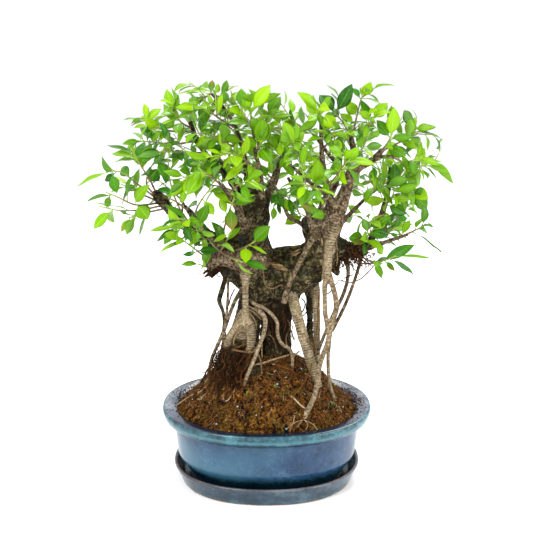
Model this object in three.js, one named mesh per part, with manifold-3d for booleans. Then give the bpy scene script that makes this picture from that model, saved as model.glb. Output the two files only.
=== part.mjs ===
// A small-leaved fig grown as a bonsai: fused aerial roots and a bridge of old wood carry two leafy
// heads over an oval glazed pot, which stands in its drip tray. Millimetres, +Z up, +X to the right,
// +Y away from the front. The origin is the centre of the tray's underside.
import * as THREE from "three";
import { mergeVertices } from "three/addons/utils/BufferGeometryUtils.js";
import Module from "manifold-3d";

const wasm = await Module();
wasm.setup();

// Oval ware: a half width, its half depth is less by the same amount all the way up.
const OVAL_POWER = 2.2;
const OVAL_SEGMENTS = 32;
const FULL_OFFSET_RADIUS = 100;
const POT_OFFSET = 31.5;
const TRAY_OFFSET = 26;
const GAP = 0.3;
const WELD_TOLERANCE = 1e-4;

// Drip tray.
const TRAY_FLOOR_TOP = 8;
const TRAY_BASE_HALF = 121.5;
const TRAY_LIP_HALF = 135;
const TRAY_LIP_TOP = 30;

// Pot.
const POT_FLOOR_UNDER = 13;
const POT_FLOOR_TOP = 20;
const RIM_HALF = 150;
const RIM_TOP = 114;
const RIM_INNER_HALF = 129;
const RIM_INNER_TOP = 111;
const DRAIN_HOLE_RADIUS = 11;
const DRAIN_HOLE_X = 52;
const DRAIN_HOLE_LENGTH = 24;
const DRAIN_HOLE_SEGMENTS = 16;
const FOOT_NOTCH_WIDTH = 34;

// Mesh screens over the drain holes.
const SCREEN_SIDE = 34;
const SCREEN_THICKNESS = 1;
const SCREEN_CELLS = 3;
const SCREEN_CELL = 7;
const SCREEN_PITCH = 9.5;

// Soil: a bank that rises from the rim and a steeper crown under the roots.
const SOIL_BOTTOM = 21.4;
const SOIL_EDGE = 109;
const BANK_RISE = 41;
const BANK_POWER = 2.24;
const CROWN_RISE = 37.3;
const CROWN_HALF_X = 90.3;
const CROWN_HALF_Y = 80.2;
const CROWN_POWER = 2.35;
const SOIL_RELIEF = 1.6;
const SOIL_HALF = 128.4;
const SOIL_WALL_GAP = 0.6;
const SOIL_TOP_RINGS = [0.95, 0.84, 0.7, 0.55, 0.38, 0.2, 0];

// Wood: spacing of the sections along a limb, and how uneven old wood is.
const SECTION_PER_RADIUS = 2.2;
const SECTION_MIN = 17;
const SECTION_MAX = 30;
const LUMP_SIZE = 0.13;
const LUMP_MIN_RADIUS = 8;

// Sides of a limb's tube by its widest radius: the first row that the radius passes counts.
const LIMB_SIDES = [
  [15, 8],
  [7.5, 6],
  [4.6, 5],
  [0, 4],
];
const TWIG_SIDES = 4;
const SHOOT_SIDES = 3;
const NEARLY_PARALLEL = 0.95;
const WOOD_SAMPLE_SPACING = 6;

// Shoots and leaves.
const SHOOT_BASE_RADIUS = 2.1;
const SHOOT_TIP_RADIUS = 1.2;
const SHOOT_SECTION = 46;
const TWIG_SECTION = 30;
const FIRST_FOOT = 0.3;
const LAST_FOOT = 0.9;
const FOOT_PLACES = 24;
const LEAF_LENGTH = 31;
const LEAF_LENGTH_SPREAD = 8;
const LEAF_WIDTH_SHARE = 0.47;
const LEAF_WIDTH_LEAST = 0.88;
const LEAF_WIDTH_SPREAD = 0.24;
const RIB_HALF_THICKNESS = 0.6;
const LEAF_DROOP = 0.26;
const LEAF_FOLD = 0.2;
const LEAF_OPENING = 1.1;
const LEAF_OPENING_SPREAD = 0.5;
const LAST_LEAF_OPENING = 0.35;
const LEAF_SAG = 0.12;
const LEAF_TURN = 2.4;
const LEAF_TRIES = 9;
const RETRY_TURN = 0.7;
const RETRY_OPENING = 0.08;
const TIP_SWINGS = [0, 8, -8, 15, -15];
const LEAF_CLEARANCE = 6;
const LEAF_SEARCH_RADIUS = 50;
const WOOD_CLEARANCE = 3;
const CROWN_CENTRE = new THREE.Vector3(0, 0, 400);

// The way a blade's upper face looks: from straight up towards the front, with some scatter.
const FACE_UP = 1.15;
const FACE_LESS_UP = 0.9;
const FACE_FORWARD = 0.96;
const CHOSEN_FACE_SPREAD = 0.5;
const SHOOT_FACE_SPREAD = 1.5;
const SHOOT_FRONT_SHARE = 0.25;
const SHOOT_OUTWARD_SHARE = 0.55;

// Seeds of the streams of chance numbers.
const CHOSEN_LEAF_SEED = 1000;
const SHOOT_LEAF_SEED = 5000;
const SEEDS_PER_BRANCH = 50;

// The tree's lines are given as they are seen from the front: steps across and down from the upper
// left of that view, then the depth in millimetres, positive away from the front. The eye stands
// VIEW_DISTANCE away, looks down by VIEW_TILT, and sees VIEW_FOCUS steps for a slope of one. It sees
// the middle of the pot at the height VIEW_AIM_HEIGHT at VIEW_AIM_DOWN.
const VIEW_DISTANCE = 1500;
const VIEW_TILT = THREE.MathUtils.degToRad(16.2);
const VIEW_FOCUS = 1035;
const VIEW_CENTRE_ACROSS = 266.9;
const VIEW_CENTRE_DOWN = 266.5;
const VIEW_AIM_HEIGHT = 114;
const VIEW_AIM_DOWN = 402;

// Trunks, limbs and roots of the tree: the points along each, with the radius there.
const WOOD_SEEN = {
  lower_trunk: [[243, 387, 8, 34], [243, 364, 6, 28], [244, 340, 3, 21], [247.5, 322, 0, 20],
    [251, 309, 0, 20], [258, 296, 0, 22], [266, 281, 0, 25]],
  rear_trunk: [[280, 388, 20, 28], [277.5, 358, 18, 24], [276, 332, 16, 22], [279, 306, 12, 22],
    [287, 286, 6, 25]],
  bridge: [[226, 268, 0, 15], [242, 272, 0, 21], [260, 279, -1, 26], [280, 281, -2, 27],
    [299, 275, -2, 27], [313, 261, -2, 27], [322, 245, -1, 26], [325, 230, 0, 24], [325, 220, 2, 18]],
  left_trunk: [[251, 280, 2, 27], [252, 260, 3, 28], [251, 238, 5, 25], [253, 216, 6, 23],
    [254, 201, 6, 21.5], [254, 194, 6, 15]],
  knob: [[327, 236, -9, 16], [331, 223, -8, 19], [335, 212, -6, 16.5], [338, 203, -5, 11]],
  shoulder: [[316, 240, 6, 16], [311, 228, 7, 13], [309, 219, 8, 9]],
  right_snag: [[328, 256, 2, 13], [335, 266, 3, 8.5], [338, 275, 4, 4.5]],
  dead_log: [[264, 268, 8, 9], [275, 258, 11, 11.5], [289, 255, 13, 12], [304, 254, 11, 11]],
  left_stub: [[256, 263, -14, 15], [240, 260, -16, 14], [226, 258, -17, 12], [216, 260, -17, 11],
    [210, 268, -17, 8]],
  left_limb: [[246, 256, 2, 18], [230, 250, -6, 15], [215, 242, -11, 12], [201, 233, -15, 9.5],
    [188, 227, -17, 8.5], [176, 218, -18, 6.5], [167, 207, -18, 6], [160, 198, -18, 8],
    [155, 192, -18, 5]],
  left_root: [[248, 262, -18, 9], [246.5, 270, -23, 6.6], [246, 280, -26, 4.5], [246, 292, -27, 4.2],
    [246, 306, -27, 4.3], [246, 314, -25, 5.6], [245.5, 321, -23, 8]],
  left_root_foot_1: [[245, 320, -23, 7], [238, 326, -23, 6], [231.5, 335, -22, 5.4],
    [228, 346, -21, 5.6], [226, 358, -21, 5.8], [225, 373, -22, 5.8]],
  left_root_foot_2: [[246, 319, -24, 7.5], [251, 328, -26, 7.4], [252, 339, -29, 6.3],
    [250.5, 350, -32, 5.6], [248.5, 361, -36, 5.4], [246, 376, -42, 5]],
  root_fan: [[246.5, 311, -18, 8], [243.5, 321, -15, 13], [241, 334, -11, 14]],
  root_ball_left: [[237, 345, -20, 10], [231, 357, -25, 16], [227, 374, -27, 18]],
  root_ball_right: [[249, 346, -24, 8], [251, 358, -32, 12], [251, 374, -42, 14]],
  looped_root: [[249.5, 299, -10, 3.2], [256, 304.5, -28, 2.5], [265, 308.5, -32, 2.5],
    [273, 315, -35, 2.5], [277.5, 323, -35, 2.4], [278, 331, -34, 2.4], [279.5, 340, -33, 2.4],
    [284, 345.5, -31, 2.4], [290, 348, -29, 2.4], [292.5, 356, -28, 2.4], [292.3, 370, -30, 2.2]],
  slim_root: [[254, 306, -11, 4.6], [261, 312, -30, 3.6], [265.7, 319, -35, 3.3], [264.7, 331, -39, 3],
    [260.5, 344, -44, 2.8], [255, 358, -50, 2.8], [248, 375, -57, 2.6], [244.5, 386, -54, 2.2]],
  middle_root: [[286, 286, -12, 8], [292, 295, -17, 7.6], [296, 307, -20, 7.9], [299.5, 321, -22, 7.7],
    [304.5, 340, -24, 7.4], [309.5, 357, -27, 7.3], [314.5, 372, -29, 6.4], [319, 387, -29, 5.2]],
  straight_root: [[313, 276, 0, 8], [316.5, 290, -3, 5.8], [317, 306, -5, 5.2], [317, 322, -7, 5.1],
    [317, 342, -10, 5.1], [317.5, 360, -14, 5], [318, 378, -17, 4.8]],
  shaded_root: [[307, 284, 12, 8], [310, 299, 12, 5], [310.5, 320, 12, 4.6], [311, 344, 10, 4.4],
    [311, 368, 6, 4.4]],
  right_root: [[336, 226, -22, 8], [332, 240, -26, 6.4], [329.5, 252, -28, 5.5], [328.5, 264, -30, 5.3],
    [328, 275, -31, 6]],
  right_root_fork_1: [[327.5, 273, -31, 5], [325.6, 285, -33, 3.8], [325.2, 300, -34, 3.2],
    [325.8, 314, -36, 3.4], [328.8, 327, -37, 4.1]],
  right_root_fork_2: [[328.5, 273, -31, 5], [333, 285, -33, 3.8], [336.5, 298, -34, 3.7],
    [336.5, 309, -35, 4], [334, 319, -36, 4.1], [330.5, 329, -37, 4.6]],
  long_front_root: [[330, 322, -36, 5.2], [329.7, 334, -39, 3.9], [327.5, 344, -42, 3.5],
    [323.5, 355, -46, 3.6], [320, 367, -52, 3.6], [317.8, 382, -60, 3.4], [314.5, 396, -67, 3.6],
    [309, 409, -73, 3.9], [303.5, 421, -76, 3.4]],
  short_front_root: [[330.5, 327, -36, 3.4], [329.5, 343, -36, 2.8], [328.7, 357, -35, 2.6],
    [328.7, 372, -33, 2.6], [331, 386, -31, 2.6], [336, 402, -28, 2.3]],
  outer_root_1: [[342, 246, 2, 7], [345.5, 258, 3, 4.4], [348.4, 269, 2, 2.9], [348, 281, -2, 2.7],
    [343.5, 295, -7, 2.7], [338, 307, -12, 2.7], [332, 318, -16, 2.7], [326.5, 330, -18, 2.6],
    [321.5, 343, -17, 2.4], [315.5, 361, -14, 2.4]],
  outer_root_2: [[362, 250, 6, 4.4], [361, 262, 5, 2.5], [355, 281, 1, 2.5], [347.5, 300, -8, 2.6],
    [340, 316, -20, 2.6], [332.5, 331, -32, 2.9]],
  slanting_root: [[319, 228, -13, 6], [312, 240, -29, 4], [303.5, 256, -34, 3.5], [295, 273, -36, 3.4],
    [288, 289, -36, 3.9], [284, 302, -30, 4.2]],
  hanging_root_1: [[230, 266, -8, 2.4], [229, 280, -14, 2], [228, 300, -18, 1.9], [226.5, 317, -22, 2],
    [225, 330, -25, 2.1]],
  hanging_root_2: [[228, 268, 2, 4], [225.5, 280, 0, 3.4], [222, 292, -5, 3.6], [220, 301, -8, 3.4],
    [223.5, 311, -13, 2.6], [225, 322, -19, 2.4], [224, 331, -25, 2.4]],
  hanging_root_3: [[246, 284, -14, 4], [240, 293, -19, 3], [235.5, 301.5, -21, 2.8],
    [229.5, 316, -24, 2.7], [225, 328, -24, 2.8], [219.5, 341, -22, 2.6], [213.5, 355, -18, 2.5],
    [209, 371, -12, 2.4], [208, 382, -9, 2.2]],
  hanging_root_4: [[225, 333, -24, 2.4], [222, 350, -15, 2.1], [219, 370, -6, 2]],
  burl: [[334, 246, 2, 17], [345, 249, 4, 12], [356, 252, 6, 9], [366, 251, 8, 6.5]],
  upper_trunk: [[339, 210, -5, 10.5], [344, 198, -6, 8.6], [347, 187, -7, 7.8], [350, 176, -8, 7.2]],
  left_top_2: [[248, 206, 6, 8], [238, 190, 3, 5.4], [222, 171, -2, 4.4], [206, 153, -6, 3.6],
    [196, 138, -8, 3], [191, 122, -9, 2.4]],
};

// Twigs that belong to a leafy branch.
const TWIGS_SEEN = {
  right_riser: [[362, 250, 9, 6], [371, 240, 15, 5], [379, 223, 21, 4.4], [385, 205, 25, 4],
    [389, 186, 27, 3.8], [391, 168, 27, 3]],
  right_leader: [[333, 207, -7, 7], [329, 194, -9, 5.4], [326, 180, -11, 4.4], [323, 160, -13, 3.5],
    [321.6, 140, -13, 2.7], [321, 120, -12, 2]],
  right_side_shoot_1: [[329, 198, -8, 4], [320, 188, -4, 3.2], [310, 182, 0, 2.8], [296, 169.6, 6, 2.4],
    [287, 162, 9, 2]],
  right_side_shoot_2: [[331, 197, -4, 4], [338, 180, 4, 3], [341, 158, 8, 2.5], [340, 138, 10, 2]],
  upper_fork_1: [[349, 180, -7, 6.2], [353, 166, -6, 5.4], [354, 150, -4, 4.6], [351, 136, -2, 3.2]],
  upper_fork_2: [[349, 181, -8, 6.2], [360, 168, -12, 5.2], [373, 160, -14, 4.6], [383, 150, -15, 3.6]],
  upper_fork_3: [[372, 161, -14, 3.4], [383, 157, -11, 2.8], [394, 157, -7, 2.3]],
  upper_fork_4: [[349, 184, -5, 4], [338, 166, 2, 3.1], [326, 150, 8, 2.6], [316, 137, 12, 2.2],
    [309, 129, 15, 1.9]],
  shoulder_twig_1: [[314, 232, -20, 5], [309, 216, -26, 3.4], [305, 199, -29, 2.9],
    [303, 184, -30, 2.6], [302, 166, -29, 2.1]],
  shoulder_twig_2: [[312, 230, 8, 5], [300, 223, 13, 3.2], [290, 217, 17, 2.9], [284, 205, 21, 2.6],
    [279, 192, 24, 2.3], [270, 180, 26, 1.9]],
  shoulder_twig_3: [[338, 226, 4, 5], [349, 215, 9, 3.2], [357, 207, 14, 2.8], [366, 198, 20, 2.2]],
  rear_limb_1: [[326, 228, 14, 11], [332, 213, 42, 6.5], [340, 196, 76, 4.6], [349, 178, 106, 3.2],
    [355, 164, 128, 2.2]],
  rear_limb_2: [[318, 228, 14, 8], [309, 212, 46, 4.8], [298, 194, 80, 3.4], [289, 178, 108, 2.3]],
  left_top_1: [[261, 204, 0, 7], [262, 190, -5, 4.2], [260, 170, -9, 3.2], [256, 152, -12, 2.5],
    [254, 134, -13, 1.9]],
  left_top_3: [[254, 200, 4, 6], [248, 178, 2, 4], [244, 152, 0, 3.2], [236, 128, 0, 2.7],
    [224, 108, 1, 2.2], [211, 93, 2, 1.5]],
  left_top_4: [[263, 206, 11, 7], [270, 188, 24, 4], [278, 168, 36, 3], [284, 148, 46, 2.2]],
  rear_limb_3: [[250, 210, 16, 12], [241, 194, 46, 6], [230, 176, 80, 4.2], [218, 158, 108, 3],
    [210, 146, 126, 2.1]],
  rear_limb_4: [[260, 212, 16, 9], [268, 198, 50, 5], [276, 182, 86, 3.6], [280, 168, 114, 2.4]],
  front_limb_1: [[246, 226, -14, 7], [238, 210, -42, 4], [228, 194, -70, 3], [219, 182, -92, 2.1]],
  rear_limb_5: [[216, 243, -4, 7], [204, 229, 24, 4.6], [191, 213, 54, 3.4], [180, 198, 82, 2.3]],
  front_limb_2: [[222, 249, -14, 6], [213, 240, -42, 3.6], [203, 229, -68, 2.6]],
  front_limb_3: [[318, 224, -22, 6], [321, 208, -48, 3.8], [328, 192, -74, 2.9], [336, 178, -96, 2]],
  low_limb_1: [[360, 250, 4, 5.4], [374, 246, -8, 3.4], [390, 241, -17, 2.7], [408, 234, -24, 2.1]],
  low_limb_2: [[356, 248, 12, 6], [369, 240, 42, 3.8], [381, 230, 70, 2.8], [391, 221, 94, 2]],
};

// Leafy branches. A shoot is its number of leaves, its tone from old to young, and its points.
// A leaf with a place of its own is its foot, its tip, its width in millimetres and how much it faces
// the front.
const BRANCHES_SEEN = {
  left_01: {
    twigs: [],
    shoots: [
      [2, 0.55, [157, 199, -18], [139, 185, -24], [121, 172, -30], [106, 172, -34]],
    ],
    leaves: [
      [[104, 172, -34], [76, 178, -38], 11, 0.5],
      [[119, 171, -31], [102, 179, -24], 11, 0.6],
      [[114, 172, -32], [117, 190, -38], 15, 0.9],
    ],
  },
  left_02: {
    twigs: [],
    shoots: [
      [2, 0.6, [156, 200, -18], [137, 192, -6], [121, 184, 4]],
    ],
    leaves: [
      [[122, 184, 4], [138, 190, 8], 10, 0.7],
    ],
  },
  left_03: {
    twigs: [],
    shoots: [
      [2, 0.4, [158, 203, -18], [137, 205, -34], [117, 197, -46], [106, 192, -50]],
    ],
    leaves: [
      [[113, 196, -46], [99, 195, -54], 15, 0.9],
      [[110, 197, -46], [106, 208, -50], 10, 0.9],
      [[137, 203, -36], [148, 219, -42], 22, 1],
    ],
  },
  left_04: {
    twigs: [],
    shoots: [
      [2, 0.7, [161, 206, -18], [139, 210, 0], [118, 210, 12], [99, 206, 20]],
    ],
    leaves: [
      [[113, 211, 14], [92, 227, 8], 15, 0.8],
      [[118, 211, 12], [129, 214, 10], 7, 0.6],
    ],
  },
  left_05: {
    twigs: [],
    shoots: [
      [2, 0.6, [167, 208, -18], [143, 214, -4], [129, 218, 0]],
    ],
    leaves: [
      [[129, 218, 0], [120, 231, -6], 9, 0.8],
    ],
  },
  left_06: {
    twigs: [],
    shoots: [
      [2, 0.2, [158, 198, -18], [147, 184, -12], [151, 168, -4], [160, 156, 2]],
    ],
    leaves: [
      [[144, 187, -12], [156, 170, -18], 20, 1],
    ],
  },
  left_07: {
    twigs: [],
    shoots: [
      [2, 0.45, [159, 198, -18], [150, 180, -24], [140, 164, -28], [132, 149, -30]],
    ],
    leaves: [
      [[133, 154, -29], [110, 141, -34], 8, 0.4],
      [[137, 161, -28], [115, 156, -22], 11, 0.6],
      [[132, 150, -30], [129, 140, -34], 13, 1],
      [[142, 166, -27], [150, 146, -34], 18, 1],
      [[144, 169, -25], [144, 155, -12], 14, 0.9],
    ],
  },
  left_08: {
    twigs: [],
    shoots: [
      [2, 0.6, [182, 222, -18], [183, 203, -24], [186, 180, -28], [190, 168, -28]],
    ],
    leaves: [
      [[186, 181, -28], [220, 160, -34], 13, 0.7],
      [[187, 176, -28], [202, 162, -22], 9, 0.7],
    ],
  },
  left_09: {
    twigs: [],
    shoots: [
      [2, 0.4, [194, 229, -16], [179, 206, -34], [171, 182, -42], [168, 157, -46]],
    ],
    leaves: [
      [[172, 182, -42], [160, 163, -50], 17, 0.9],
      [[171, 178, -42], [184, 186, -50], 10, 0.8],
    ],
  },
  left_10: {
    twigs: [],
    shoots: [
      [2, 0.45, [200, 233, -16], [188, 229, -42], [176, 227, -54]],
      [1, 0.45, [188, 229, -42], [184, 238, -58], [178, 240, -66]],
    ],
    leaves: [
      [[177, 227, -52], [151, 227, -60], 9, 0.6],
      [[178, 228, -52], [153, 240, -56], 9, 0.6],
      [[179, 240, -66], [174, 248, -70], 6, 0.8],
    ],
  },
  left_11: {
    twigs: [],
    shoots: [
      [2, 0.35, [210, 261, -18], [199, 252, -34], [186, 242, -44], [177, 236, -48]],
    ],
    leaves: [
      [[194, 248, -38], [198, 236, -44], 12, 0.9],
      [[197, 250, -36], [214, 247, -44], 12, 0.8],
    ],
  },
  left_12: {
    twigs: [],
    shoots: [
      [1, 0.5, [210, 267, -18], [205, 267, -30], [199, 264, -38]],
    ],
    leaves: [
      [[199, 264, -38], [183, 262, -44], 11, 0.5],
      [[199, 265, -38], [190, 276, -44], 15, 0.9],
    ],
  },
  left_13: {
    twigs: [],
    shoots: [
      [2, 0.5, [203, 233, -14], [196, 214, -40], [205, 196, -58], [214, 186, -70]],
    ],
    leaves: [
      [[205, 200, -56], [214, 214, -62], 13, 0.8],
    ],
  },
  stub_01: {
    twigs: [],
    shoots: [
      [1, 0.55, [219, 257, -20], [220.5, 252, -33], [226, 243, -46], [232, 230, -56]],
      [1, 0.55, [220.5, 252, -33], [213, 245, -41], [207, 236, -48]],
      [1, 0.55, [220.5, 252, -33], [232, 258, -47], [243, 262, -56]],
    ],
    leaves: [
      [[231, 231, -56], [214, 239, -62], 9, 0.6],
      [[208, 236, -48], [198, 221, -56], 14, 0.9],
      [[243, 262, -56], [267, 266, -62], 12, 0.7],
    ],
  },
  stub_02: {
    twigs: [],
    shoots: [
      [2, 0.5, [233, 252, -12], [247, 246, -42], [257, 240, -52]],
    ],
    leaves: [
      [[255, 241, -50], [267, 234, -56], 13, 0.9],
      [[249, 246, -44], [268, 250, -50], 7, 0.5],
    ],
  },
  middle_01: {
    twigs: [],
    shoots: [
      [2, 0.6, [222, 238, -18], [228, 215, -52], [235, 197, -66]],
    ],
    leaves: [
      [[231, 206, -60], [231, 230, -68], 18, 1],
      [[235, 197, -66], [252, 192, -72], 8, 0.5],
      [[230, 203, -62], [215, 192, -70], 11, 0.6],
    ],
  },
  middle_02: {
    twigs: [],
    shoots: [
      [2, 0.75, [246, 222, -13], [241, 206, -40], [236, 190, -58], [226, 178, -72]],
    ],
    leaves: [],
  },
  upper_left_01: {
    twigs: ["left_top_1"],
    shoots: [
      [2, 0.7, [255, 143, -12], [251.5, 124, -19], [251, 108, -24]],
      [2, 0.7, [253, 128, -16], [246, 118, -2], [241, 106, 6]],
      [2, 0.75, [256, 152, -12], [260, 146, -30], [263, 138, -36]],
      [2, 0.65, [256.2, 153, -12], [266, 132, -2], [268, 114, 2]],
      [3, 0.85, [259, 169, -9], [246, 160, -36], [232, 154, -52], [222, 151, -62]],
    ],
    leaves: [
      [[252, 107, -24], [269, 86, -30], 19, 0.95],
      [[251, 114, -23], [259, 133, -30], 13, 0.9],
      [[246, 118, -2], [235, 104, 4], 6, 0.3],
      [[263, 147, -30], [264, 121, -40], 21, 1],
      [[259, 150, -24], [247, 138, -34], 15, 0.9],
      [[267, 113, 2], [279, 97, -2], 17, 0.95],
      [[268, 118, 2], [292, 111, 8], 9, 0.5],
      [[247, 172, -40], [226, 177, -52], 13, 0.6],
    ],
  },
  upper_left_02: {
    twigs: ["left_top_3"],
    shoots: [
      [2, 0.6, [211, 93, 2], [206, 97, -8], [199, 100, -14]],
      [2, 0.6, [212, 94, 2], [219, 96, 12], [224, 96, 18]],
      [3, 0.6, [236, 128, 0], [222, 120, -14], [208, 110, -24], [198, 106, -30]],
      [3, 0.45, [243, 150, 0], [228, 144, -20], [214, 136, -32], [204, 132, -40]],
      [3, 0.55, [243, 150, 0], [238, 136, 22], [228, 124, 36], [224, 114, 44]],
    ],
    leaves: [
      [[210, 93, 1], [180, 86, -8], 9, 0.4],
      [[211, 93, 2], [213, 79, 8], 9, 0.8],
      [[226, 143, -20], [213, 138, -34], 12, 0.7],
      [[222, 141, -22], [214, 158, -36], 16, 0.9],
    ],
  },
  upper_left_03: {
    twigs: [],
    shoots: [
      [2, 0.6, [192, 128, -8], [181, 122, -20], [172, 108, -26]],
    ],
    leaves: [
      [[172, 108, -26], [166, 91, -30], 13, 0.9],
      [[171, 109, -26], [162, 98, -34], 9, 0.7],
      [[177, 116, -23], [167, 110, -34], 17, 0.9],
    ],
  },
  upper_left_04: {
    twigs: [],
    shoots: [
      [3, 0.65, [193, 131, -9], [170, 131, -18], [150, 124, -22], [140, 118, -22]],
    ],
    leaves: [
      [[141, 118, -22], [126, 114, -26], 7, 0.5],
      [[146, 122, -22], [158, 108, -28], 12, 0.8],
    ],
  },
  upper_left_05: {
    twigs: [],
    shoots: [
      [3, 0.35, [197, 141, -8], [174, 144, 2], [152, 142, 8], [138, 141, 10]],
    ],
    leaves: [
      [[138, 141, 10], [126, 139, 8], 10, 0.6],
    ],
  },
  upper_left_06: {
    twigs: [],
    shoots: [
      [4, 0.35, [206, 153, -6], [188, 152, -34], [170, 152, -48], [160, 152, -54]],
    ],
    leaves: [],
  },
  upper_left_07: {
    twigs: [],
    shoots: [
      [4, 0.5, [222, 171, -2], [206, 170, -36], [192, 174, -56], [184, 180, -66]],
    ],
    leaves: [],
  },
  upper_left_08: {
    twigs: [],
    shoots: [
      [3, 0.3, [248, 176, 2], [232, 166, 20], [214, 158, 32], [204, 160, 38]],
    ],
    leaves: [],
  },
  upper_left_09: {
    twigs: ["left_top_4"],
    shoots: [
      [3, 0.6, [282, 155, 42], [284, 136, 50], [280, 122, 54]],
    ],
    leaves: [
      [[272, 118, 40], [282, 127, 30], 8, 0.6],
    ],
  },
  rear_left: {
    twigs: ["rear_limb_3"],
    shoots: [
      [2, 0.4, [211, 147, 124], [200, 134, 146], [192, 120, 160]],
      [2, 0.35, [230, 176, 80], [206, 168, 104], [188, 162, 122]],
      [2, 0.4, [218, 158, 108], [226, 142, 134], [236, 132, 154]],
      [2, 0.5, [240, 193, 48], [218, 186, 66], [200, 184, 78]],
    ],
    leaves: [],
  },
  rear_middle: {
    twigs: ["rear_limb_4"],
    shoots: [
      [2, 0.45, [280, 169, 112], [286, 154, 136], [288, 140, 152]],
      [2, 0.35, [276, 182, 86], [262, 168, 108], [252, 154, 128]],
    ],
    leaves: [],
  },
  rear_limb: {
    twigs: ["rear_limb_5"],
    shoots: [
      [2, 0.4, [181, 199, 80], [166, 186, 102], [154, 176, 118]],
      [2, 0.45, [191, 213, 54], [174, 200, 72], [160, 196, 84]],
    ],
    leaves: [],
  },
  front_limb: {
    twigs: ["front_limb_2"],
    shoots: [
      [4, 0.5, [204, 230, -66], [190, 222, -90], [178, 218, -106]],
    ],
    leaves: [],
  },
  front_left: {
    twigs: ["front_limb_1"],
    shoots: [
      [4, 0.6, [220, 183, -90], [208, 174, -112], [198, 168, -128]],
      [3, 0.7, [228, 194, -70], [240, 184, -96], [250, 180, -112]],
    ],
    leaves: [],
  },
  upper_right_01: {
    twigs: ["right_leader", "right_side_shoot_2"],
    shoots: [
      [2, 0.8, [321, 121, -12], [320, 110, -16]],
      [2, 0.75, [322, 150, -13], [332, 138, -30], [336, 126, -36]],
    ],
    leaves: [
      [[321, 114, -14], [303, 90, -22], 16, 0.8],
      [[319, 117, -14], [307, 103, -6], 13, 0.9],
      [[318, 119, -14], [302, 128, -20], 12, 0.8],
      [[336, 131, -34], [327, 116, -42], 19, 1],
      [[328, 140, -24], [338, 153, -36], 14, 0.9],
    ],
  },
  upper_right_02: {
    twigs: ["upper_fork_1"],
    shoots: [
      [2, 0.1, [351, 137, -3], [343, 122, -10], [334, 112, -14]],
      [2, 0.75, [352, 140, -3], [356, 120, 4], [360, 104, 8], [364, 92, 10]],
      [2, 0.6, [354, 158, -5], [364, 134, -16], [374, 116, -22]],
    ],
    leaves: [
      [[336, 112, -13], [352, 86, -22], 18, 0.8],
      [[333, 111, -14], [321, 93, -8], 20, 0.7],
      [[337, 113, -12], [336, 83, -4], 22, 0.8],
      [[334, 110, -14], [326, 118, -26], 12, 0.9],
      [[358, 116, 5], [349, 103, -6], 16, 0.95],
      [[353, 124, 2], [343, 113, -4], 12, 0.9],
      [[362, 98, 9], [371, 84, 4], 14, 0.9],
      [[361, 100, 8], [352, 85, 12], 11, 0.6],
      [[374, 116, -22], [386, 104, -28], 17, 0.8],
      [[373, 118, -22], [363, 112, -34], 11, 0.9],
    ],
  },
  upper_right_03: {
    twigs: ["upper_fork_2", "upper_fork_3"],
    shoots: [
      [2, 0.4, [382, 151, -15], [390, 140, -28], [394, 130, -34]],
      [2, 0.6, [393, 157, -7], [404, 162, -2], [420, 166, 4], [437, 165, 8]],
      [3, 0.35, [383, 151, -15], [400, 142, 6], [414, 134, 14], [422, 130, 18]],
    ],
    leaves: [
      [[394, 140, -32], [395, 112, -42], 19, 1],
      [[391, 139, -30], [380, 122, -38], 15, 0.9],
      [[384, 126, -20], [392, 104, -26], 12, 0.9],
      [[436, 165, 8], [458, 180, 6], 12, 0.6],
      [[424, 166, 5], [440, 176, 8], 6, 0.4],
      [[434, 165, 8], [445, 159, 12], 7, 0.5],
      [[414, 130, 14], [432, 122, 20], 12, 0.4],
      [[404, 140, 8], [416, 116, 14], 14, 0.7],
    ],
  },
  upper_right_04: {
    twigs: ["upper_fork_4"],
    shoots: [
      [3, 0.7, [310, 130, 14], [298, 124, 22], [290, 118, 30]],
    ],
    leaves: [
      [[314, 130, 10], [291, 112, 18], 10, 0.7],
    ],
  },
  upper_right_05: {
    twigs: ["right_side_shoot_1"],
    shoots: [
      [3, 0.75, [288, 163, 9], [279, 152, -4], [270, 146, -12]],
    ],
    leaves: [
      [[276, 150, -8], [262, 158, -20], 15, 0.9],
    ],
  },
  upper_right_06: {
    twigs: ["shoulder_twig_1"],
    shoots: [
      [3, 0.85, [302, 168, -29], [298, 152, -40], [291, 138, -48]],
    ],
    leaves: [
      [[296, 146, -44], [286, 123, -54], 18, 0.95],
    ],
  },
  upper_right_07: {
    twigs: ["shoulder_twig_2"],
    shoots: [
      [3, 0.35, [274.5, 186, 25], [281, 194, 8], [292, 198, -6]],
    ],
    leaves: [
      [[292, 200, -6], [300, 182, -14], 14, 0.9],
    ],
  },
  upper_right_08: {
    twigs: ["shoulder_twig_3"],
    shoots: [
      [4, 0.6, [365, 199, 20], [378, 190, 6], [388, 186, -4]],
    ],
    leaves: [],
  },
  right_01: {
    twigs: ["right_riser"],
    shoots: [
      [2, 0.4, [391, 170, 27], [400, 180, 22], [410, 188, 16], [416, 196, 12]],
      [3, 0.6, [383, 209, 24], [392, 198, 10], [396, 188, 2]],
      [3, 0.5, [389, 188, 27], [398, 178, 48], [406, 168, 62]],
    ],
    leaves: [
      [[411, 187, 16], [426, 194, 12], 19, 0.9],
      [[414, 192, 14], [429, 209, 10], 19, 0.9],
      [[402, 180, 20], [420, 170, 24], 14, 0.8],
      [[398, 184, 22], [408, 213, 14], 10, 0.9],
      [[390, 200, 12], [409, 194, 8], 12, 0.6],
    ],
  },
  right_02: {
    twigs: ["low_limb_1"],
    shoots: [
      [2, 0.55, [407, 234, -24], [418, 229, -26], [426, 224, -28]],
    ],
    leaves: [
      [[424, 226, -28], [436, 226, -30], 8, 0.5],
      [[408, 233, -24], [424, 226, -30], 8, 0.6],
      [[400, 233, -20], [412, 220, -14], 10, 0.7],
      [[412, 232, -26], [446, 246, -28], 6, 0.5],
    ],
  },
  right_03: {
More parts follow.
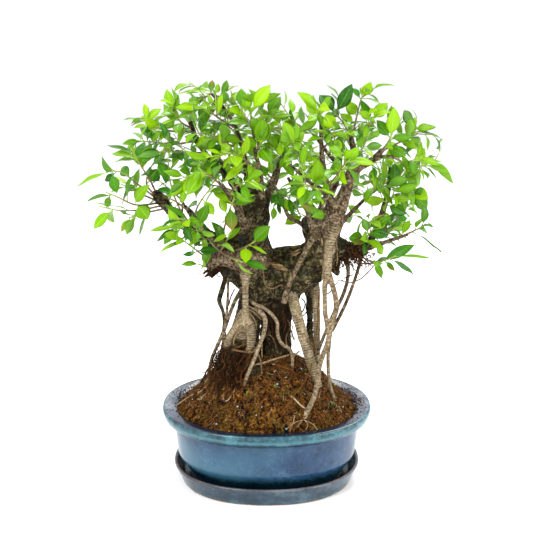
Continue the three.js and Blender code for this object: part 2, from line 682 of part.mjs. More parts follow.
    twigs: [],
    shoots: [
      [2, 0.45, [360, 256, 4], [374, 262, -18], [386, 260, -30], [396, 256, -36]],
    ],
    leaves: [
      [[380, 261, -26], [412, 245, -38], 15, 0.8],
      [[396, 256, -36], [428, 249, -40], 6, 0.4],
      [[384, 261, -30], [396, 270, -36], 8, 0.6],
      [[372, 263, -16], [384, 277, -24], 11, 0.9],
    ],
  },
  right_04: {
    twigs: [],
    shoots: [
      [3, 0.4, [357, 250, 6], [366, 238, -14], [374, 228, -26]],
    ],
    leaves: [
      [[366, 238, -14], [352, 238, -28], 18, 1],
      [[376, 226, -28], [388, 216, -34], 14, 0.8],
    ],
  },
  right_05: {
    twigs: ["low_limb_2"],
    shoots: [
      [3, 0.35, [390, 222, 90], [402, 212, 108], [410, 204, 120]],
      [3, 0.45, [369, 240, 42], [384, 234, 34], [398, 226, 26]],
    ],
    leaves: [
      [[396, 226, 26], [412, 221, 22], 8, 0.6],
    ],
  },
  rear_right_01: {
    twigs: ["rear_limb_1"],
    shoots: [
      [2, 0.4, [354, 165, 126], [362, 150, 146], [368, 138, 160]],
      [2, 0.4, [341, 195, 78], [362, 184, 102], [380, 178, 120]],
      [2, 0.5, [349, 178, 106], [336, 160, 128], [330, 146, 142]],
    ],
    leaves: [],
  },
  rear_right_02: {
    twigs: ["rear_limb_2"],
    shoots: [
      [2, 0.4, [291.3, 182, 101], [302, 166, 130], [310, 152, 150]],
    ],
    leaves: [],
  },
  front_right: {
    twigs: ["front_limb_3"],
    shoots: [
      [4, 0.65, [335, 180, -94], [342, 168, -118], [350, 160, -132]],
      [3, 0.6, [328, 193, -72], [312, 186, -98], [302, 184, -112]],
    ],
    leaves: [],
  },
};

const COLOURS = {
  tray: { color: 0x4d6472, roughness: 0.3, metalness: 0 },
  pot: { color: 0x5d6f92, roughness: 0.22, metalness: 0 },
  screen: { color: 0x1c1d1c, roughness: 0.6, metalness: 0 },
  soil: { color: 0x3b2a1c, roughness: 0.95, metalness: 0 },
  wood: { color: 0x6a5b4a, roughness: 0.85, metalness: 0 },
};
const OLD_LEAF = new THREE.Color(0x1f6a1c);
const YOUNG_LEAF = new THREE.Color(0x9ccb2c);

// ---- helpers ----

// Returns the next number from 0 to 1 of a stream that the seed fixes.
function makeRandom(seed) {
  let state = seed >>> 0;
  return () => {
    state = (state + 0x6d2b79f5) >>> 0;
    let mixed = state;
    mixed = Math.imul(mixed ^ (mixed >>> 15), mixed | 1);
    mixed ^= mixed + Math.imul(mixed ^ (mixed >>> 7), mixed | 61);
    return ((mixed ^ (mixed >>> 14)) >>> 0) / 2 ** 32;
  };
}

// Merges shared corners and drops triangles that have no area left.
function weld(geometry) {
  geometry.deleteAttribute("normal");
  geometry.deleteAttribute("uv");
  const merged = mergeVertices(geometry, WELD_TOLERANCE);
  const corners = merged.index.array;
  const kept = [];
  for (let i = 0; i < corners.length; i += 3) {
    const [a, b, c] = [corners[i], corners[i + 1], corners[i + 2]];
    if (a !== b && b !== c && c !== a) kept.push(a, b, c);
  }
  merged.setIndex(kept);
  return merged;
}

function toSolid(geometry) {
  const merged = weld(geometry);
  const mesh = new wasm.Mesh({
    numProp: 3,
    vertProperties: Float32Array.from(merged.attributes.position.array),
    triVerts: Uint32Array.from(merged.index.array),
  });
  return new wasm.Manifold(mesh);
}

function toGeometry(solid) {
  const { vertProperties, triVerts } = solid.getMesh();
  const geometry = new THREE.BufferGeometry();
  geometry.setAttribute("position", new THREE.BufferAttribute(vertProperties, 3));
  geometry.setIndex(new THREE.BufferAttribute(triVerts, 1));
  geometry.computeVertexNormals();
  return geometry;
}

function unite(solids) {
  return solids.reduce((whole, next) => whole.add(next));
}

// A cut can leave crumbs beside the main body: only the largest piece stays.
function largestBody(solid) {
  const bodies = solid.decompose();
  return bodies.reduce((best, body) => (body.volume() > best.volume() ? body : best));
}

function boxesTouch(first, second) {
  const a = first.boundingBox();
  const b = second.boundingBox();
  return [0, 1, 2].every((axis) => a.min[axis] < b.max[axis] && b.min[axis] < a.max[axis]);
}

function clash(first, second) {
  return boxesTouch(first, second) && !first.intersect(second).isEmpty();
}

function addMesh(group, name, solid, look) {
  const material = new THREE.MeshStandardMaterial(look);
  const mesh = new THREE.Mesh(toGeometry(solid), material);
  mesh.name = name;
  group.add(mesh);
}

// ---- the front view ----

// The place, across and up to the whole millimetre, that is seen at a spot and has the depth.
function fromView([across, down, depth]) {
  const forward = new THREE.Vector3(0, Math.cos(VIEW_TILT), -Math.sin(VIEW_TILT));
  const upward = new THREE.Vector3(0, Math.sin(VIEW_TILT), Math.cos(VIEW_TILT));
  const eye = new THREE.Vector3(0, 0, VIEW_AIM_HEIGHT)
    .addScaledVector(forward, -VIEW_DISTANCE)
    .addScaledVector(upward, ((VIEW_AIM_DOWN - VIEW_CENTRE_DOWN) / VIEW_FOCUS) * VIEW_DISTANCE);
  const ray = forward.addScaledVector(upward, (VIEW_CENTRE_DOWN - down) / VIEW_FOCUS);
  ray.x = (across - VIEW_CENTRE_ACROSS) / VIEW_FOCUS;
  const reach = (depth - eye.y) / ray.y;
  return [Math.round(reach * ray.x), depth, Math.round(eye.z + reach * ray.z)];
}

// Makes the same change to every row of a table, and keeps the names.
function mapRows(table, change) {
  return Object.fromEntries(Object.entries(table).map(([name, row]) => [name, change(row)]));
}

function placeLimb(points) {
  return points.map(([across, down, depth, radius]) => [...fromView([across, down, depth]), radius]);
}

function placeBranch({ twigs, shoots, leaves }) {
  return {
    twigs,
    shoots: shoots.map(([count, tone, ...spots]) => [count, tone, ...spots.map(fromView)]),
    leaves: leaves.map(([foot, tip, ...rest]) => [fromView(foot), fromView(tip), ...rest]),
  };
}

const WOOD = mapRows(WOOD_SEEN, placeLimb);
const TWIGS = mapRows(TWIGS_SEEN, placeLimb);
const BRANCHES = mapRows(BRANCHES_SEEN, placeBranch);

// ---- oval ware ----

function halfDepth(halfWidth, offset) {
  return halfWidth - offset * Math.min(1, halfWidth / FULL_OFFSET_RADIUS);
}

function ovalPoint(halfWidth, offset, angle) {
  const bulge = 2 / OVAL_POWER;
  const c = Math.cos(angle);
  const s = Math.sin(angle);
  return [
    halfWidth * Math.sign(c) * Math.abs(c) ** bulge,
    halfDepth(halfWidth, offset) * Math.sign(s) * Math.abs(s) ** bulge,
  ];
}

// Turns a profile of [half width, height] pairs, and squares the round turning to the oval.
function ovalTurning(profile, offset, heightAt) {
  const outline = profile.map(([radius, height]) => new THREE.Vector2(radius, height));
  const geometry = new THREE.LatheGeometry(outline, OVAL_SEGMENTS);
  const positions = geometry.attributes.position;
  for (let i = 0; i < positions.count; i += 1) {
    const radius = Math.hypot(positions.getX(i), positions.getZ(i));
    const angle = Math.atan2(-positions.getZ(i), positions.getX(i));
    const [x, y] = ovalPoint(radius, offset, angle);
    const z = positions.getY(i);
    positions.setXYZ(i, x, y, heightAt ? heightAt(x, y, z, radius) : z);
  }
  return toSolid(geometry);
}

function makeTray() {
  const profile = [
    [0, 0],
    [TRAY_BASE_HALF, 0],
    [TRAY_BASE_HALF + 3, 2.5],
    [TRAY_BASE_HALF + 7, 14],
    [TRAY_LIP_HALF, TRAY_LIP_TOP - 3],
    [TRAY_LIP_HALF - 1, TRAY_LIP_TOP],
    [TRAY_LIP_HALF - 4.5, TRAY_LIP_TOP - 1],
    [TRAY_BASE_HALF + 2.5, 15],
    [TRAY_BASE_HALF - 3, TRAY_FLOOR_TOP],
    [0, TRAY_FLOOR_TOP],
  ];
  return ovalTurning(profile, TRAY_OFFSET);
}

function potWall() {
  return [
    [RIM_INNER_HALF, RIM_INNER_TOP],
    [126, 94],
    [119, 44],
    [113, 30],
    [102, POT_FLOOR_TOP],
  ];
}

function makePot() {
  const foot = [
    [0, POT_FLOOR_UNDER],
    [97, POT_FLOOR_UNDER],
    [98.5, TRAY_FLOOR_TOP],
    [111, TRAY_FLOOR_TOP],
    [115, 19],
    [120, 30],
    [128, 42],
    [134, 91],
    [147, 100],
    [RIM_HALF, 109],
    [RIM_HALF - 1.5, RIM_TOP],
  ];
  const profile = [...foot, ...potWall(), [0, POT_FLOOR_TOP]];
  const cuts = [-DRAIN_HOLE_X, DRAIN_HOLE_X].map((x) => {
    const hole = new THREE.CylinderGeometry(
      DRAIN_HOLE_RADIUS,
      DRAIN_HOLE_RADIUS,
      DRAIN_HOLE_LENGTH,
      DRAIN_HOLE_SEGMENTS,
    );
    hole.rotateX(Math.PI / 2);
    hole.translate(x, 0, (POT_FLOOR_UNDER + POT_FLOOR_TOP) / 2);
    return toSolid(hole);
  });
  // Four gaps in the foot ring let the water out.
  const notchHeight = POT_FLOOR_UNDER - TRAY_FLOOR_TOP - 1;
  const notches = [
    new THREE.BoxGeometry(3 * RIM_HALF, FOOT_NOTCH_WIDTH, 2 * notchHeight),
    new THREE.BoxGeometry(FOOT_NOTCH_WIDTH, 3 * RIM_HALF, 2 * notchHeight),
  ];
  for (const notch of notches) {
    notch.translate(0, 0, TRAY_FLOOR_TOP);
    cuts.push(toSolid(notch));
  }
  return ovalTurning(profile, POT_OFFSET).subtract(unite(cuts));
}

function makeScreen(x) {
  const plate = new THREE.BoxGeometry(SCREEN_SIDE, SCREEN_SIDE, SCREEN_THICKNESS);
  plate.translate(x, 0, POT_FLOOR_TOP + SCREEN_THICKNESS / 2);
  const cells = [];
  for (let row = 0; row < SCREEN_CELLS; row += 1) {
    for (let column = 0; column < SCREEN_CELLS; column += 1) {
      const cell = new THREE.BoxGeometry(SCREEN_CELL, SCREEN_CELL, 4 * SCREEN_THICKNESS);
      const columnOffset = (column - (SCREEN_CELLS - 1) / 2) * SCREEN_PITCH;
      const rowOffset = (row - (SCREEN_CELLS - 1) / 2) * SCREEN_PITCH;
      cell.translate(x + columnOffset, rowOffset, POT_FLOOR_TOP);
      cells.push(toSolid(cell));
    }
  }
  return toSolid(plate).subtract(unite(cells));
}

// ---- soil ----

function moundHeight(x, y) {
  const soilDepth = halfDepth(SOIL_HALF, POT_OFFSET);
  const sum = Math.abs(x / SOIL_HALF) ** OVAL_POWER + Math.abs(y / soilDepth) ** OVAL_POWER;
  const reach = Math.min(1, sum ** (1 / OVAL_POWER));
  const bank = BANK_RISE * (1 - reach ** BANK_POWER);
  const fromTop = (x / CROWN_HALF_X) ** 2 + (y / CROWN_HALF_Y) ** 2;
  const crown = CROWN_RISE * Math.exp(-(fromTop ** CROWN_POWER));
  return SOIL_EDGE + bank + crown;
}

function soilRelief(x, y) {
  const waves = Math.sin(0.13 * x + 1.1) * Math.sin(0.17 * y + 0.4) + Math.sin(0.31 * x - 0.23 * y);
  return 0.5 * SOIL_RELIEF * waves;
}

function makeSoil(grownWood) {
  const wall = potWall()
    .reverse()
    .map(([half, height]) => [half - SOIL_WALL_GAP, Math.max(height, SOIL_BOTTOM)])
    .filter(([, height]) => height < SOIL_EDGE);
  const profile = [
    [0, SOIL_BOTTOM],
    ...wall,
    [SOIL_HALF, SOIL_EDGE],
    ...SOIL_TOP_RINGS.map((share) => [share * SOIL_HALF, SOIL_EDGE + 1]),
  ];
  const solid = ovalTurning(profile, POT_OFFSET, (x, y, z) => {
    const isTop = z > SOIL_EDGE;
    return isTop ? moundHeight(x, y) + soilRelief(x, y) : z;
  });
  return largestBody(solid.subtract(grownWood));
}

// ---- wood ----

// Old thick wood swells and sinks in and out: a share of the radius, from -1 to 1, at a place.
function lump(x, y, z) {
  const coarse = Math.sin(0.083 * x + 0.7) * Math.sin(0.071 * z + 1.9) + Math.sin(0.09 * y + 0.047 * z);
  const fine = Math.sin(0.21 * x + 0.13 * z) * Math.sin(0.19 * y - 0.17 * z + 2.2);
  return 0.4 * coarse + 0.5 * fine;
}

function lumpShare(radius) {
  return LUMP_SIZE * Math.min(1, Math.max(0, (radius - LUMP_MIN_RADIUS) / LUMP_MIN_RADIUS));
}

function smoothPath(points) {
  return new THREE.CatmullRomCurve3(points.map(([x, y, z]) => new THREE.Vector3(x, y, z)));
}

function stepsAlong(path, section) {
  return Math.max(2, Math.ceil(path.getLength() / section));
}

// A place on the straight stretches between the sections of a tube, at a share of its curve.
function onChord(path, section, share) {
  const steps = stepsAlong(path, section);
  const before = Math.min(steps - 1, Math.floor(share * steps));
  return path.getPoint(before / steps).lerp(path.getPoint((before + 1) / steps), share * steps - before);
}

// Bends a closed cylinder along the smooth curve through the points, with the radius given at each.
function bentTube(points, sides, section, extraRadius = 0, isPointed = false) {
  const path = smoothPath(points);
  const steps = stepsAlong(path, section);
  const rings = [];
  let side = new THREE.Vector3(1, 0, 0);
  for (let i = 0; i <= steps; i += 1) {
    const share = i / steps;
    const centre = path.getPoint(share);
    const along = path.getTangent(share);
    if (Math.abs(along.dot(side)) > NEARLY_PARALLEL) side = new THREE.Vector3(0, 1, 0);
    side = side.clone().addScaledVector(along, -side.dot(along)).normalize();
    const across = new THREE.Vector3().crossVectors(side, along);
    const place = share * (points.length - 1);
    const before = Math.min(points.length - 2, Math.floor(place));
    const radius = THREE.MathUtils.lerp(points[before][3], points[before + 1][3], place - before);
    rings.push({ centre, side, across, radius });
  }
  // The cylinder's top ring is the end of the curve: it shrinks to a point where the end is pointed.
  const geometry = new THREE.CylinderGeometry(1, 1, 1, sides, steps);
  if (isPointed) rings[steps].radius = 0;
  const positions = geometry.attributes.position;
  for (let i = 0; i < positions.count; i += 1) {
    const ring = rings[Math.round((positions.getY(i) + 0.5) * steps)];
    const spot = ring.centre
      .clone()
      .addScaledVector(ring.side, positions.getX(i) * ring.radius)
      .addScaledVector(ring.across, positions.getZ(i) * ring.radius);
    const extra = ring.radius > 0 ? extraRadius / ring.radius : 0;
    const swell = 1 + lumpShare(ring.radius) * lump(spot.x, spot.y, spot.z) + extra;
    spot.sub(ring.centre).multiplyScalar(swell).add(ring.centre);
    positions.setXYZ(i, spot.x, spot.y, spot.z);
  }
  return toSolid(geometry);
}

function limbTube(points, extraRadius = 0) {
  const widest = Math.max(...points.map((point) => point[3]));
  const [, sides] = LIMB_SIDES.find(([least]) => widest > least);
  const section = THREE.MathUtils.clamp(SECTION_PER_RADIUS * widest, SECTION_MIN, SECTION_MAX);
  return bentTube(points, sides, section, extraRadius);
}

// A branch of the crown: fewer sides, and pointed where it ends.
function twigTube(points, extraRadius = 0) {
  return bentTube(points, TWIG_SIDES, TWIG_SECTION, extraRadius, true);
}

function shootPoints(places) {
  return places.map((place, index) => {
    const share = index / (places.length - 1);
    return [...place, THREE.MathUtils.lerp(SHOOT_BASE_RADIUS, SHOOT_TIP_RADIUS, share)];
  });
}

function shootTube(places, extraRadius = 0) {
  return bentTube(shootPoints(places), SHOOT_SIDES, SHOOT_SECTION, extraRadius, true);
}

// ---- leaves ----

// A leaf is its foot, its direction, the way its upper face looks, and its length and width.
function bladePoint(leaf, share, acrossShare) {
  const half = leaf.width * 0.5 * acrossShare;
  const sag = LEAF_DROOP * leaf.length * share * share;
  const lift = LEAF_FOLD * Math.abs(half);
  return leaf.foot
    .clone()
    .addScaledVector(leaf.along, leaf.length * share)
    .addScaledVector(leaf.face, lift - sag)
    .addScaledVector(leaf.across, half);
}

function makeLeaf(foot, along, faceHint, length, width) {
  const direction = along.clone().normalize();
  const face = faceHint.clone().addScaledVector(direction, -faceHint.dot(direction)).normalize();
  const across = new THREE.Vector3().crossVectors(direction, face);
  return { foot, along: direction, face, across, length, width };
}

// Places on the outer part of the blade that have to stay clear of wood and of other leaves.
function leafSamples(leaf) {
  const samples = [];
  for (const share of [0.36, 0.56, 0.76, 0.97]) {
    const reach = share > 0.9 ? 0.1 : 0.8;
    for (const acrossShare of [-reach, 0, reach]) samples.push(bladePoint(leaf, share, acrossShare));
  }
  return samples;
}

// The blade as a closed body: a midrib ridge above and below, and a sharp edge all round.
function leafSolid(leaf, extraThickness = 0) {
  const offset = (point, height) => point.clone().addScaledVector(leaf.face, height);
  const foot = bladePoint(leaf, 0, 0);
  const rib = bladePoint(leaf, 0.56, 0);
  const ribHalf = RIB_HALF_THICKNESS + extraThickness;
  const corners = [
    foot,
    offset(rib, ribHalf),
    offset(rib, -ribHalf),
    bladePoint(leaf, 1, 0),
    bladePoint(leaf, 0.4, -0.92),
    bladePoint(leaf, 0.73, -0.84),
    bladePoint(leaf, 0.4, 0.92),
    bladePoint(leaf, 0.73, 0.84),
  ];
  const [footCorner, ribTop, ribLow, tip, leftNear, leftFar, rightNear, rightFar] = corners.keys();
  const faces = [
    [footCorner, ribTop, leftNear],
    [ribTop, leftFar, leftNear],
    [ribTop, tip, leftFar],
    [footCorner, rightNear, ribTop],
    [ribTop, rightNear, rightFar],
    [ribTop, rightFar, tip],
    [footCorner, leftNear, ribLow],
    [ribLow, leftNear, leftFar],
    [ribLow, leftFar, tip],
    [footCorner, ribLow, rightNear],
    [ribLow, rightFar, rightNear],
    [ribLow, tip, rightFar],
  ];
  const geometry = new THREE.BufferGeometry().setFromPoints(corners);
  geometry.setIndex(faces.flat());
  return toSolid(geometry);
}

function frontOrUp(share, spread, random) {
  const jitter = () => spread * (random() - 0.5);
  const sideways = jitter();
  const backward = jitter() - FACE_FORWARD * share;
  return new THREE.Vector3(sideways, backward, FACE_UP - FACE_LESS_UP * share + jitter());
}

// The place on a branch's own shoots and twigs that is nearest to where a leaf starts.
function nearestFoot(branch, start) {
  const tubes = [
    ...branch.shoots.map((shoot) => [smoothPath(shoot.slice(2)), SHOOT_SECTION]),
    ...branch.twigs.map((twig) => [smoothPath(TWIGS[twig]), TWIG_SECTION]),
  ];
  let nearest = start;
  let least = Infinity;
  for (const [path, section] of tubes) {
    for (let i = 1; i <= FOOT_PLACES; i += 1) {
      const spot = onChord(path, section, (LAST_FOOT * i) / FOOT_PLACES);
      const gap = spot.distanceTo(start);
      if (gap < least) {
        least = gap;
        nearest = spot;
      }
    }
  }
  return nearest;
}

// Leaves with a place of their own: tried where they are, then with the tip swung to and fro.
function chosenLeaf(branch, row, random, isClear) {
  const [foot, tip, width, frontShare] = row;
  const footPoint = nearestFoot(branch, new THREE.Vector3(...foot));
  const hint = frontOrUp(frontShare, CHOSEN_FACE_SPREAD, random);
  let leaf = null;
  for (const swing of TIP_SWINGS) {
    const along = new THREE.Vector3(...tip).sub(footPoint).add(new THREE.Vector3(0, swing, 0));
    leaf = makeLeaf(footPoint, along, hint, along.length(), width);
    if (isClear(leaf)) return leaf;
  }
  return null;
}

// Leaves along a shoot, each turned on from the last, the final one carrying the shoot on.
function shootLeaves(count, places, random, isClear) {
  const path = smoothPath(places);
  const leaves = [];
  const firstTurn = 2 * Math.PI * random();
  for (let i = 0; i < count; i += 1) {
    const share = FIRST_FOOT + ((LAST_FOOT - FIRST_FOOT) * (i + 0.6)) / count;
    const foot = onChord(path, SHOOT_SECTION, share);
    const along = path.getTangent(share);
    const flat = new THREE.Vector3(along.y, -along.x, 0.001).normalize();
    const over = new THREE.Vector3().crossVectors(flat, along).normalize();
    const length = LEAF_LENGTH + LEAF_LENGTH_SPREAD * (random() - 0.5) * 2;
    const width = length * LEAF_WIDTH_SHARE * (LEAF_WIDTH_LEAST + LEAF_WIDTH_SPREAD * random());
    const isLast = i === count - 1;
    const opening = isLast ? LAST_LEAF_OPENING : LEAF_OPENING + LEAF_OPENING_SPREAD * random();
    const outward = foot.clone().sub(CROWN_CENTRE).normalize().multiplyScalar(SHOOT_OUTWARD_SHARE);
    const hint = outward.add(frontOrUp(SHOOT_FRONT_SHARE, SHOOT_FACE_SPREAD, random));
    for (let attempt = 0; attempt < LEAF_TRIES; attempt += 1) {
      const turn = firstTurn + LEAF_TURN * i + RETRY_TURN * attempt;
      const spread = flat.clone().multiplyScalar(Math.cos(turn)).addScaledVector(over, Math.sin(turn));
      const heading = along.clone().addScaledVector(spread, opening + RETRY_OPENING * attempt);
      heading.z -= LEAF_SAG;
      const leaf = makeLeaf(foot, heading, hint, length, width);
      if (isClear(leaf)) {
        leaves.push(leaf);
        break;
      }
    }
  }
  return leaves;
}

// Every place along the wood and the shoots that a blade has to pass at a distance.
function woodSamples() {
  const rows = [...Object.values(WOOD), ...Object.values(TWIGS)];
  for (const branch of Object.values(BRANCHES)) {
    for (const shoot of branch.shoots) rows.push(shootPoints(shoot.slice(2)));
  }
  const samples = [];
  for (const points of rows) {
    const path = smoothPath(points);
    const steps = Math.ceil(path.getLength() / WOOD_SAMPLE_SPACING);
    for (let i = 0; i <= steps; i += 1) {
      const place = (i / steps) * (points.length - 1);
      const before = Math.min(points.length - 2, Math.floor(place));
      const radius = THREE.MathUtils.lerp(points[before][3], points[before + 1][3], place - before);
      samples.push({ spot: path.getPoint(i / steps), radius });
    }
  }
  return samples;
}

// Grows every leaf: those with a place of their own first, then the rest shoot by shoot.
function growLeaves() {
  const wood = woodSamples();
  const placed = [];
  const isClear = (leaf) => {
    const samples = leafSamples(leaf);
    const middle = bladePoint(leaf, 0.6, 0);
    const nearWood = wood.filter(({ spot, radius }) => spot.distanceTo(middle) < radius + leaf.length);
    const hitsWood = samples.some((sample) =>
      nearWood.some(({ spot, radius }) => spot.distanceTo(sample) < radius + WOOD_CLEARANCE),
    );
    if (hitsWood) return false;
    const nearLeaves = placed.filter((other) => other.middle.distanceTo(middle) < LEAF_SEARCH_RADIUS);
    const hitsLeaf = samples.some((sample) =>
      nearLeaves.some((other) => other.samples.some((spot) => spot.distanceTo(sample) < LEAF_CLEARANCE)),
    );
    if (hitsLeaf) return false;
    placed.push({ middle, samples });
    return true;
  };
  const grown = {};
  Object.entries(BRANCHES).forEach(([name, branch], branchIndex) => {
    const random = makeRandom(CHOSEN_LEAF_SEED + branchIndex);
    const chosen = branch.leaves.map((row) => chosenLeaf(branch, row, random, isClear));
    grown[name] = chosen.filter((leaf) => leaf !== null);
  });
  Object.entries(BRANCHES).forEach(([name, branch], branchIndex) => {
    branch.shoots.forEach(([count, , ...places], shootIndex) => {
      const random = makeRandom(SHOOT_LEAF_SEED + SEEDS_PER_BRANCH * branchIndex + shootIndex);
      grown[name].push(...shootLeaves(count, places, random, isClear));
    });
  });
  return grown;
}

// Wood and shoots of each leafy branch, cut clear of the tree and of the branches before it, and
// then its leaves, left out where they would run into wood or leaves of another branch.
function makeBranches(treeGrown) {
  const grown = growLeaves();
  const names = Object.keys(BRANCHES);
  const woody = {};
  const woodyGrown = {};
  for (const name of names) {
    const { twigs, shoots } = BRANCHES[name];
    const limbRows = twigs.map((twig) => TWIGS[twig]);
    const shootRows = shoots.map((shoot) => shoot.slice(2));
    const limbs = limbRows.map((points) => twigTube(points));
    const tubes = shootRows.map((places) => shootTube(places));
    const clear = [
      ...limbRows.map((points) => twigTube(points, GAP)),
      ...shootRows.map((places) => shootTube(places, GAP)),
    ];
    let body = unite([...limbs, ...tubes]).subtract(treeGrown);
    for (const earlier of Object.keys(woodyGrown)) {
      if (boxesTouch(body, woodyGrown[earlier])) body = body.subtract(woodyGrown[earlier]);
    }
    woody[name] = largestBody(body);
    woodyGrown[name] = unite(clear);
  }
  const blades = [];
  const solids = {};
  for (const name of names) {
    const own = [];
    for (const leaf of grown[name]) {
      const wide = leafSolid(leaf, GAP);
      const hitsTree = clash(wide, treeGrown);
      const hitsWood = names.some((other) => other !== name && clash(wide, woody[other]));
      const hitsBlade = blades.some((other) => other.name !== name && clash(wide, other.wide));
      if (!hitsTree && !hitsWood && !hitsBlade) {
        own.push(leafSolid(leaf));
        blades.push({ name, wide });
      }
    }
    solids[name] = largestBody(unite([woody[name], ...own]));
  }
  return solids;
}

function leafLook(branch) {
  const tones = branch.shoots.map((shoot) => shoot[1]);
  const mean = tones.reduce((sum, tone) => sum + tone, 0) / tones.length;
  return { color: OLD_LEAF.clone().lerp(YOUNG_LEAF, mean), roughness: 0.4, metalness: 0 };
}

// ---- assembly ----

const bonsai = new THREE.Group();
const treeRows = Object.values(WOOD);
const tree = unite(treeRows.map((points) => limbTube(points)));
const treeGrown = unite(treeRows.map((points) => limbTube(points, GAP)));

addMesh(bonsai, "drip_tray", makeTray(), COLOURS.tray);
addMesh(bonsai, "pot", makePot(), COLOURS.pot);
addMesh(bonsai, "drain_screen_left", makeScreen(-DRAIN_HOLE_X), COLOURS.screen);
addMesh(bonsai, "drain_screen_right", makeScreen(DRAIN_HOLE_X), COLOURS.screen);
addMesh(bonsai, "soil", makeSoil(treeGrown), COLOURS.soil);
addMesh(bonsai, "tree", tree, COLOURS.wood);
for (const [name, solid] of Object.entries(makeBranches(treeGrown))) {
  addMesh(bonsai, `branch_${name}`, solid, leafLook(BRANCHES[name]));
}

export default bonsai;
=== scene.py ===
"""A small-leaved fig grown as a bonsai, in an oval glazed pot on its drip tray, with finished surfaces."""
import math

import bpy
import numpy as np
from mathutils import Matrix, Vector


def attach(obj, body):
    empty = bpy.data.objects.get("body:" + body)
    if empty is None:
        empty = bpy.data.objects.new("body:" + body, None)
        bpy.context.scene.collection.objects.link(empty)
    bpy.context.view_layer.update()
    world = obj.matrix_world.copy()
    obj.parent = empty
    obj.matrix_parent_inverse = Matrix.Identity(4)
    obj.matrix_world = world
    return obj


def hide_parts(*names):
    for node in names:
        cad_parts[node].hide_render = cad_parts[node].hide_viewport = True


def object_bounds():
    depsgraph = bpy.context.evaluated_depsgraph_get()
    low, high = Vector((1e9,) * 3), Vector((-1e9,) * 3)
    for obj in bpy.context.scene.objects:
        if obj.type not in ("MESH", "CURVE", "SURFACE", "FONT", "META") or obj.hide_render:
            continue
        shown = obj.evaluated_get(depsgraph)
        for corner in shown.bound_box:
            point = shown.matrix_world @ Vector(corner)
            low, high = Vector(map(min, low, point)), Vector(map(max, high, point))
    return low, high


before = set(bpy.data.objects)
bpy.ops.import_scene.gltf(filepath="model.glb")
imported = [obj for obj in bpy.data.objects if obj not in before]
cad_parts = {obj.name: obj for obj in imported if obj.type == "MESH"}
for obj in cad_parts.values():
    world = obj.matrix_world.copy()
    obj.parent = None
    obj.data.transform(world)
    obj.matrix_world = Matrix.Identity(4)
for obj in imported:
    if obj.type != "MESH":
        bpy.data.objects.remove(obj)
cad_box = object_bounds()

MM = 0.001
ROOT = "root"

# The view of the photograph: the camera's distance in millimetres and its tilt in degrees, the pixels
# that it sees for a slope of one, the pixel at its centre, and the pixel row at which it sees the
# middle of the pot at VIEW_AIM_HEIGHT.
VIEW_DISTANCE = 1500.0
VIEW_TILT = 16.2
VIEW_FOCUS = 1035.0
VIEW_CENTRE_ACROSS = 266.9
VIEW_CENTRE_DOWN = 266.5
VIEW_AIM_HEIGHT = 114.0
VIEW_AIM_DOWN = 402.0
CAMERA_LENS = 69.9
SENSOR_WIDTH = 36.0

# Oval ware: a half width, its half depth is less by the same amount all the way up.
OVAL_POWER = 2.2
FULL_OFFSET_RADIUS = 100.0
POT_OFFSET = 31.5
TRAY_OFFSET = 26.0
TRAY_BASE_HALF = 121.5
TRAY_LIP_HALF = 135.0
TRAY_LIP_TOP = 30.0
RIM_HALF = 150.0
RIM_INNER_HALF = 129.0
RIM_INNER_TOP = 111.6
RIM_SLOPE = 0.12
TRAY_FLOOR_TOP = 8.0

# Soil: a bank that rises from the rim and a steeper crown under the roots.
SOIL_BOTTOM = 21.4
SOIL_EDGE = 109.0
BANK_RISE = 41.0
BANK_POWER = 2.24
CROWN_RISE = 37.3
CROWN_HALF_X = 90.3
CROWN_HALF_Y = 80.2
CROWN_POWER = 2.35
SOIL_HALF = 128.4
SOIL_RELIEF = 1.6

# How finely things are divided: places round the ovals, and millimetres along a profile or a limb.
TRAY_SIDES = 240
POT_SIDES = 280
SOIL_SIDES = 420
SOIL_RINGS = 130
PROFILE_SPACING = 1.6
SAMPLE_SPACING = 2.5
SKIN_VOXEL = 1.3
SKIN_SMOOTHING = 7
WOOD_BATCH = 4000
TUBE_END_SHARE = 0.6

# Limbs up to this radius are tubes of their own. The thicker ones share one skin.
THIN_LIMB_RADIUS = 4.4

# Seeds of the random draws. To those of leaves and shoots a number of the branch or shoot is added.
LITTER_SEED = 71
FINE_ROOT_SEED = 72
TORN_WOOD_SEED = 73
PLACED_LEAF_SEED = 1000
SHOOT_LEAF_SEED = 5000
ADDED_LEAF_SEED = 20000
LEAF_TINT_SEED = 40000
SIDE_SHOOT_SEED = 60000
SEEDS_PER_BRANCH = 50

# Old thick wood swells and sinks by this share of its radius.
LUMP_SIZE = 0.13
LUMP_MIN_RADIUS = 8.0

# Shoots and leaves, as the solids have them.
SHOOT_BASE_RADIUS = 2.1
SHOOT_TIP_RADIUS = 1.2
SHOOT_SECTION = 46.0
TWIG_SECTION = 30.0
FIRST_FOOT = 0.3
LAST_FOOT = 0.9
FOOT_PLACES = 24
LEAF_LENGTH = 31.0
LEAF_LENGTH_SPREAD = 8.0
LEAF_WIDTH_SHARE = 0.47
LEAF_DROOP = 0.26
LEAF_FOLD = 0.2
LEAF_TURN = 2.4
LEAF_TRIES = 9
LEAF_CLEARANCE = 6.0
WOOD_CLEARANCE = 3.0
WOOD_STEP = 6.0
NEIGHBOUR_REACH = 50.0
CROWN_CENTRE = np.array([0.0, 0.0, 400.0])

# How far the tip of a leaf with a place of its own may swing in depth to clear the others.
TIP_SWINGS = (0, 8, -8, 15, -15)

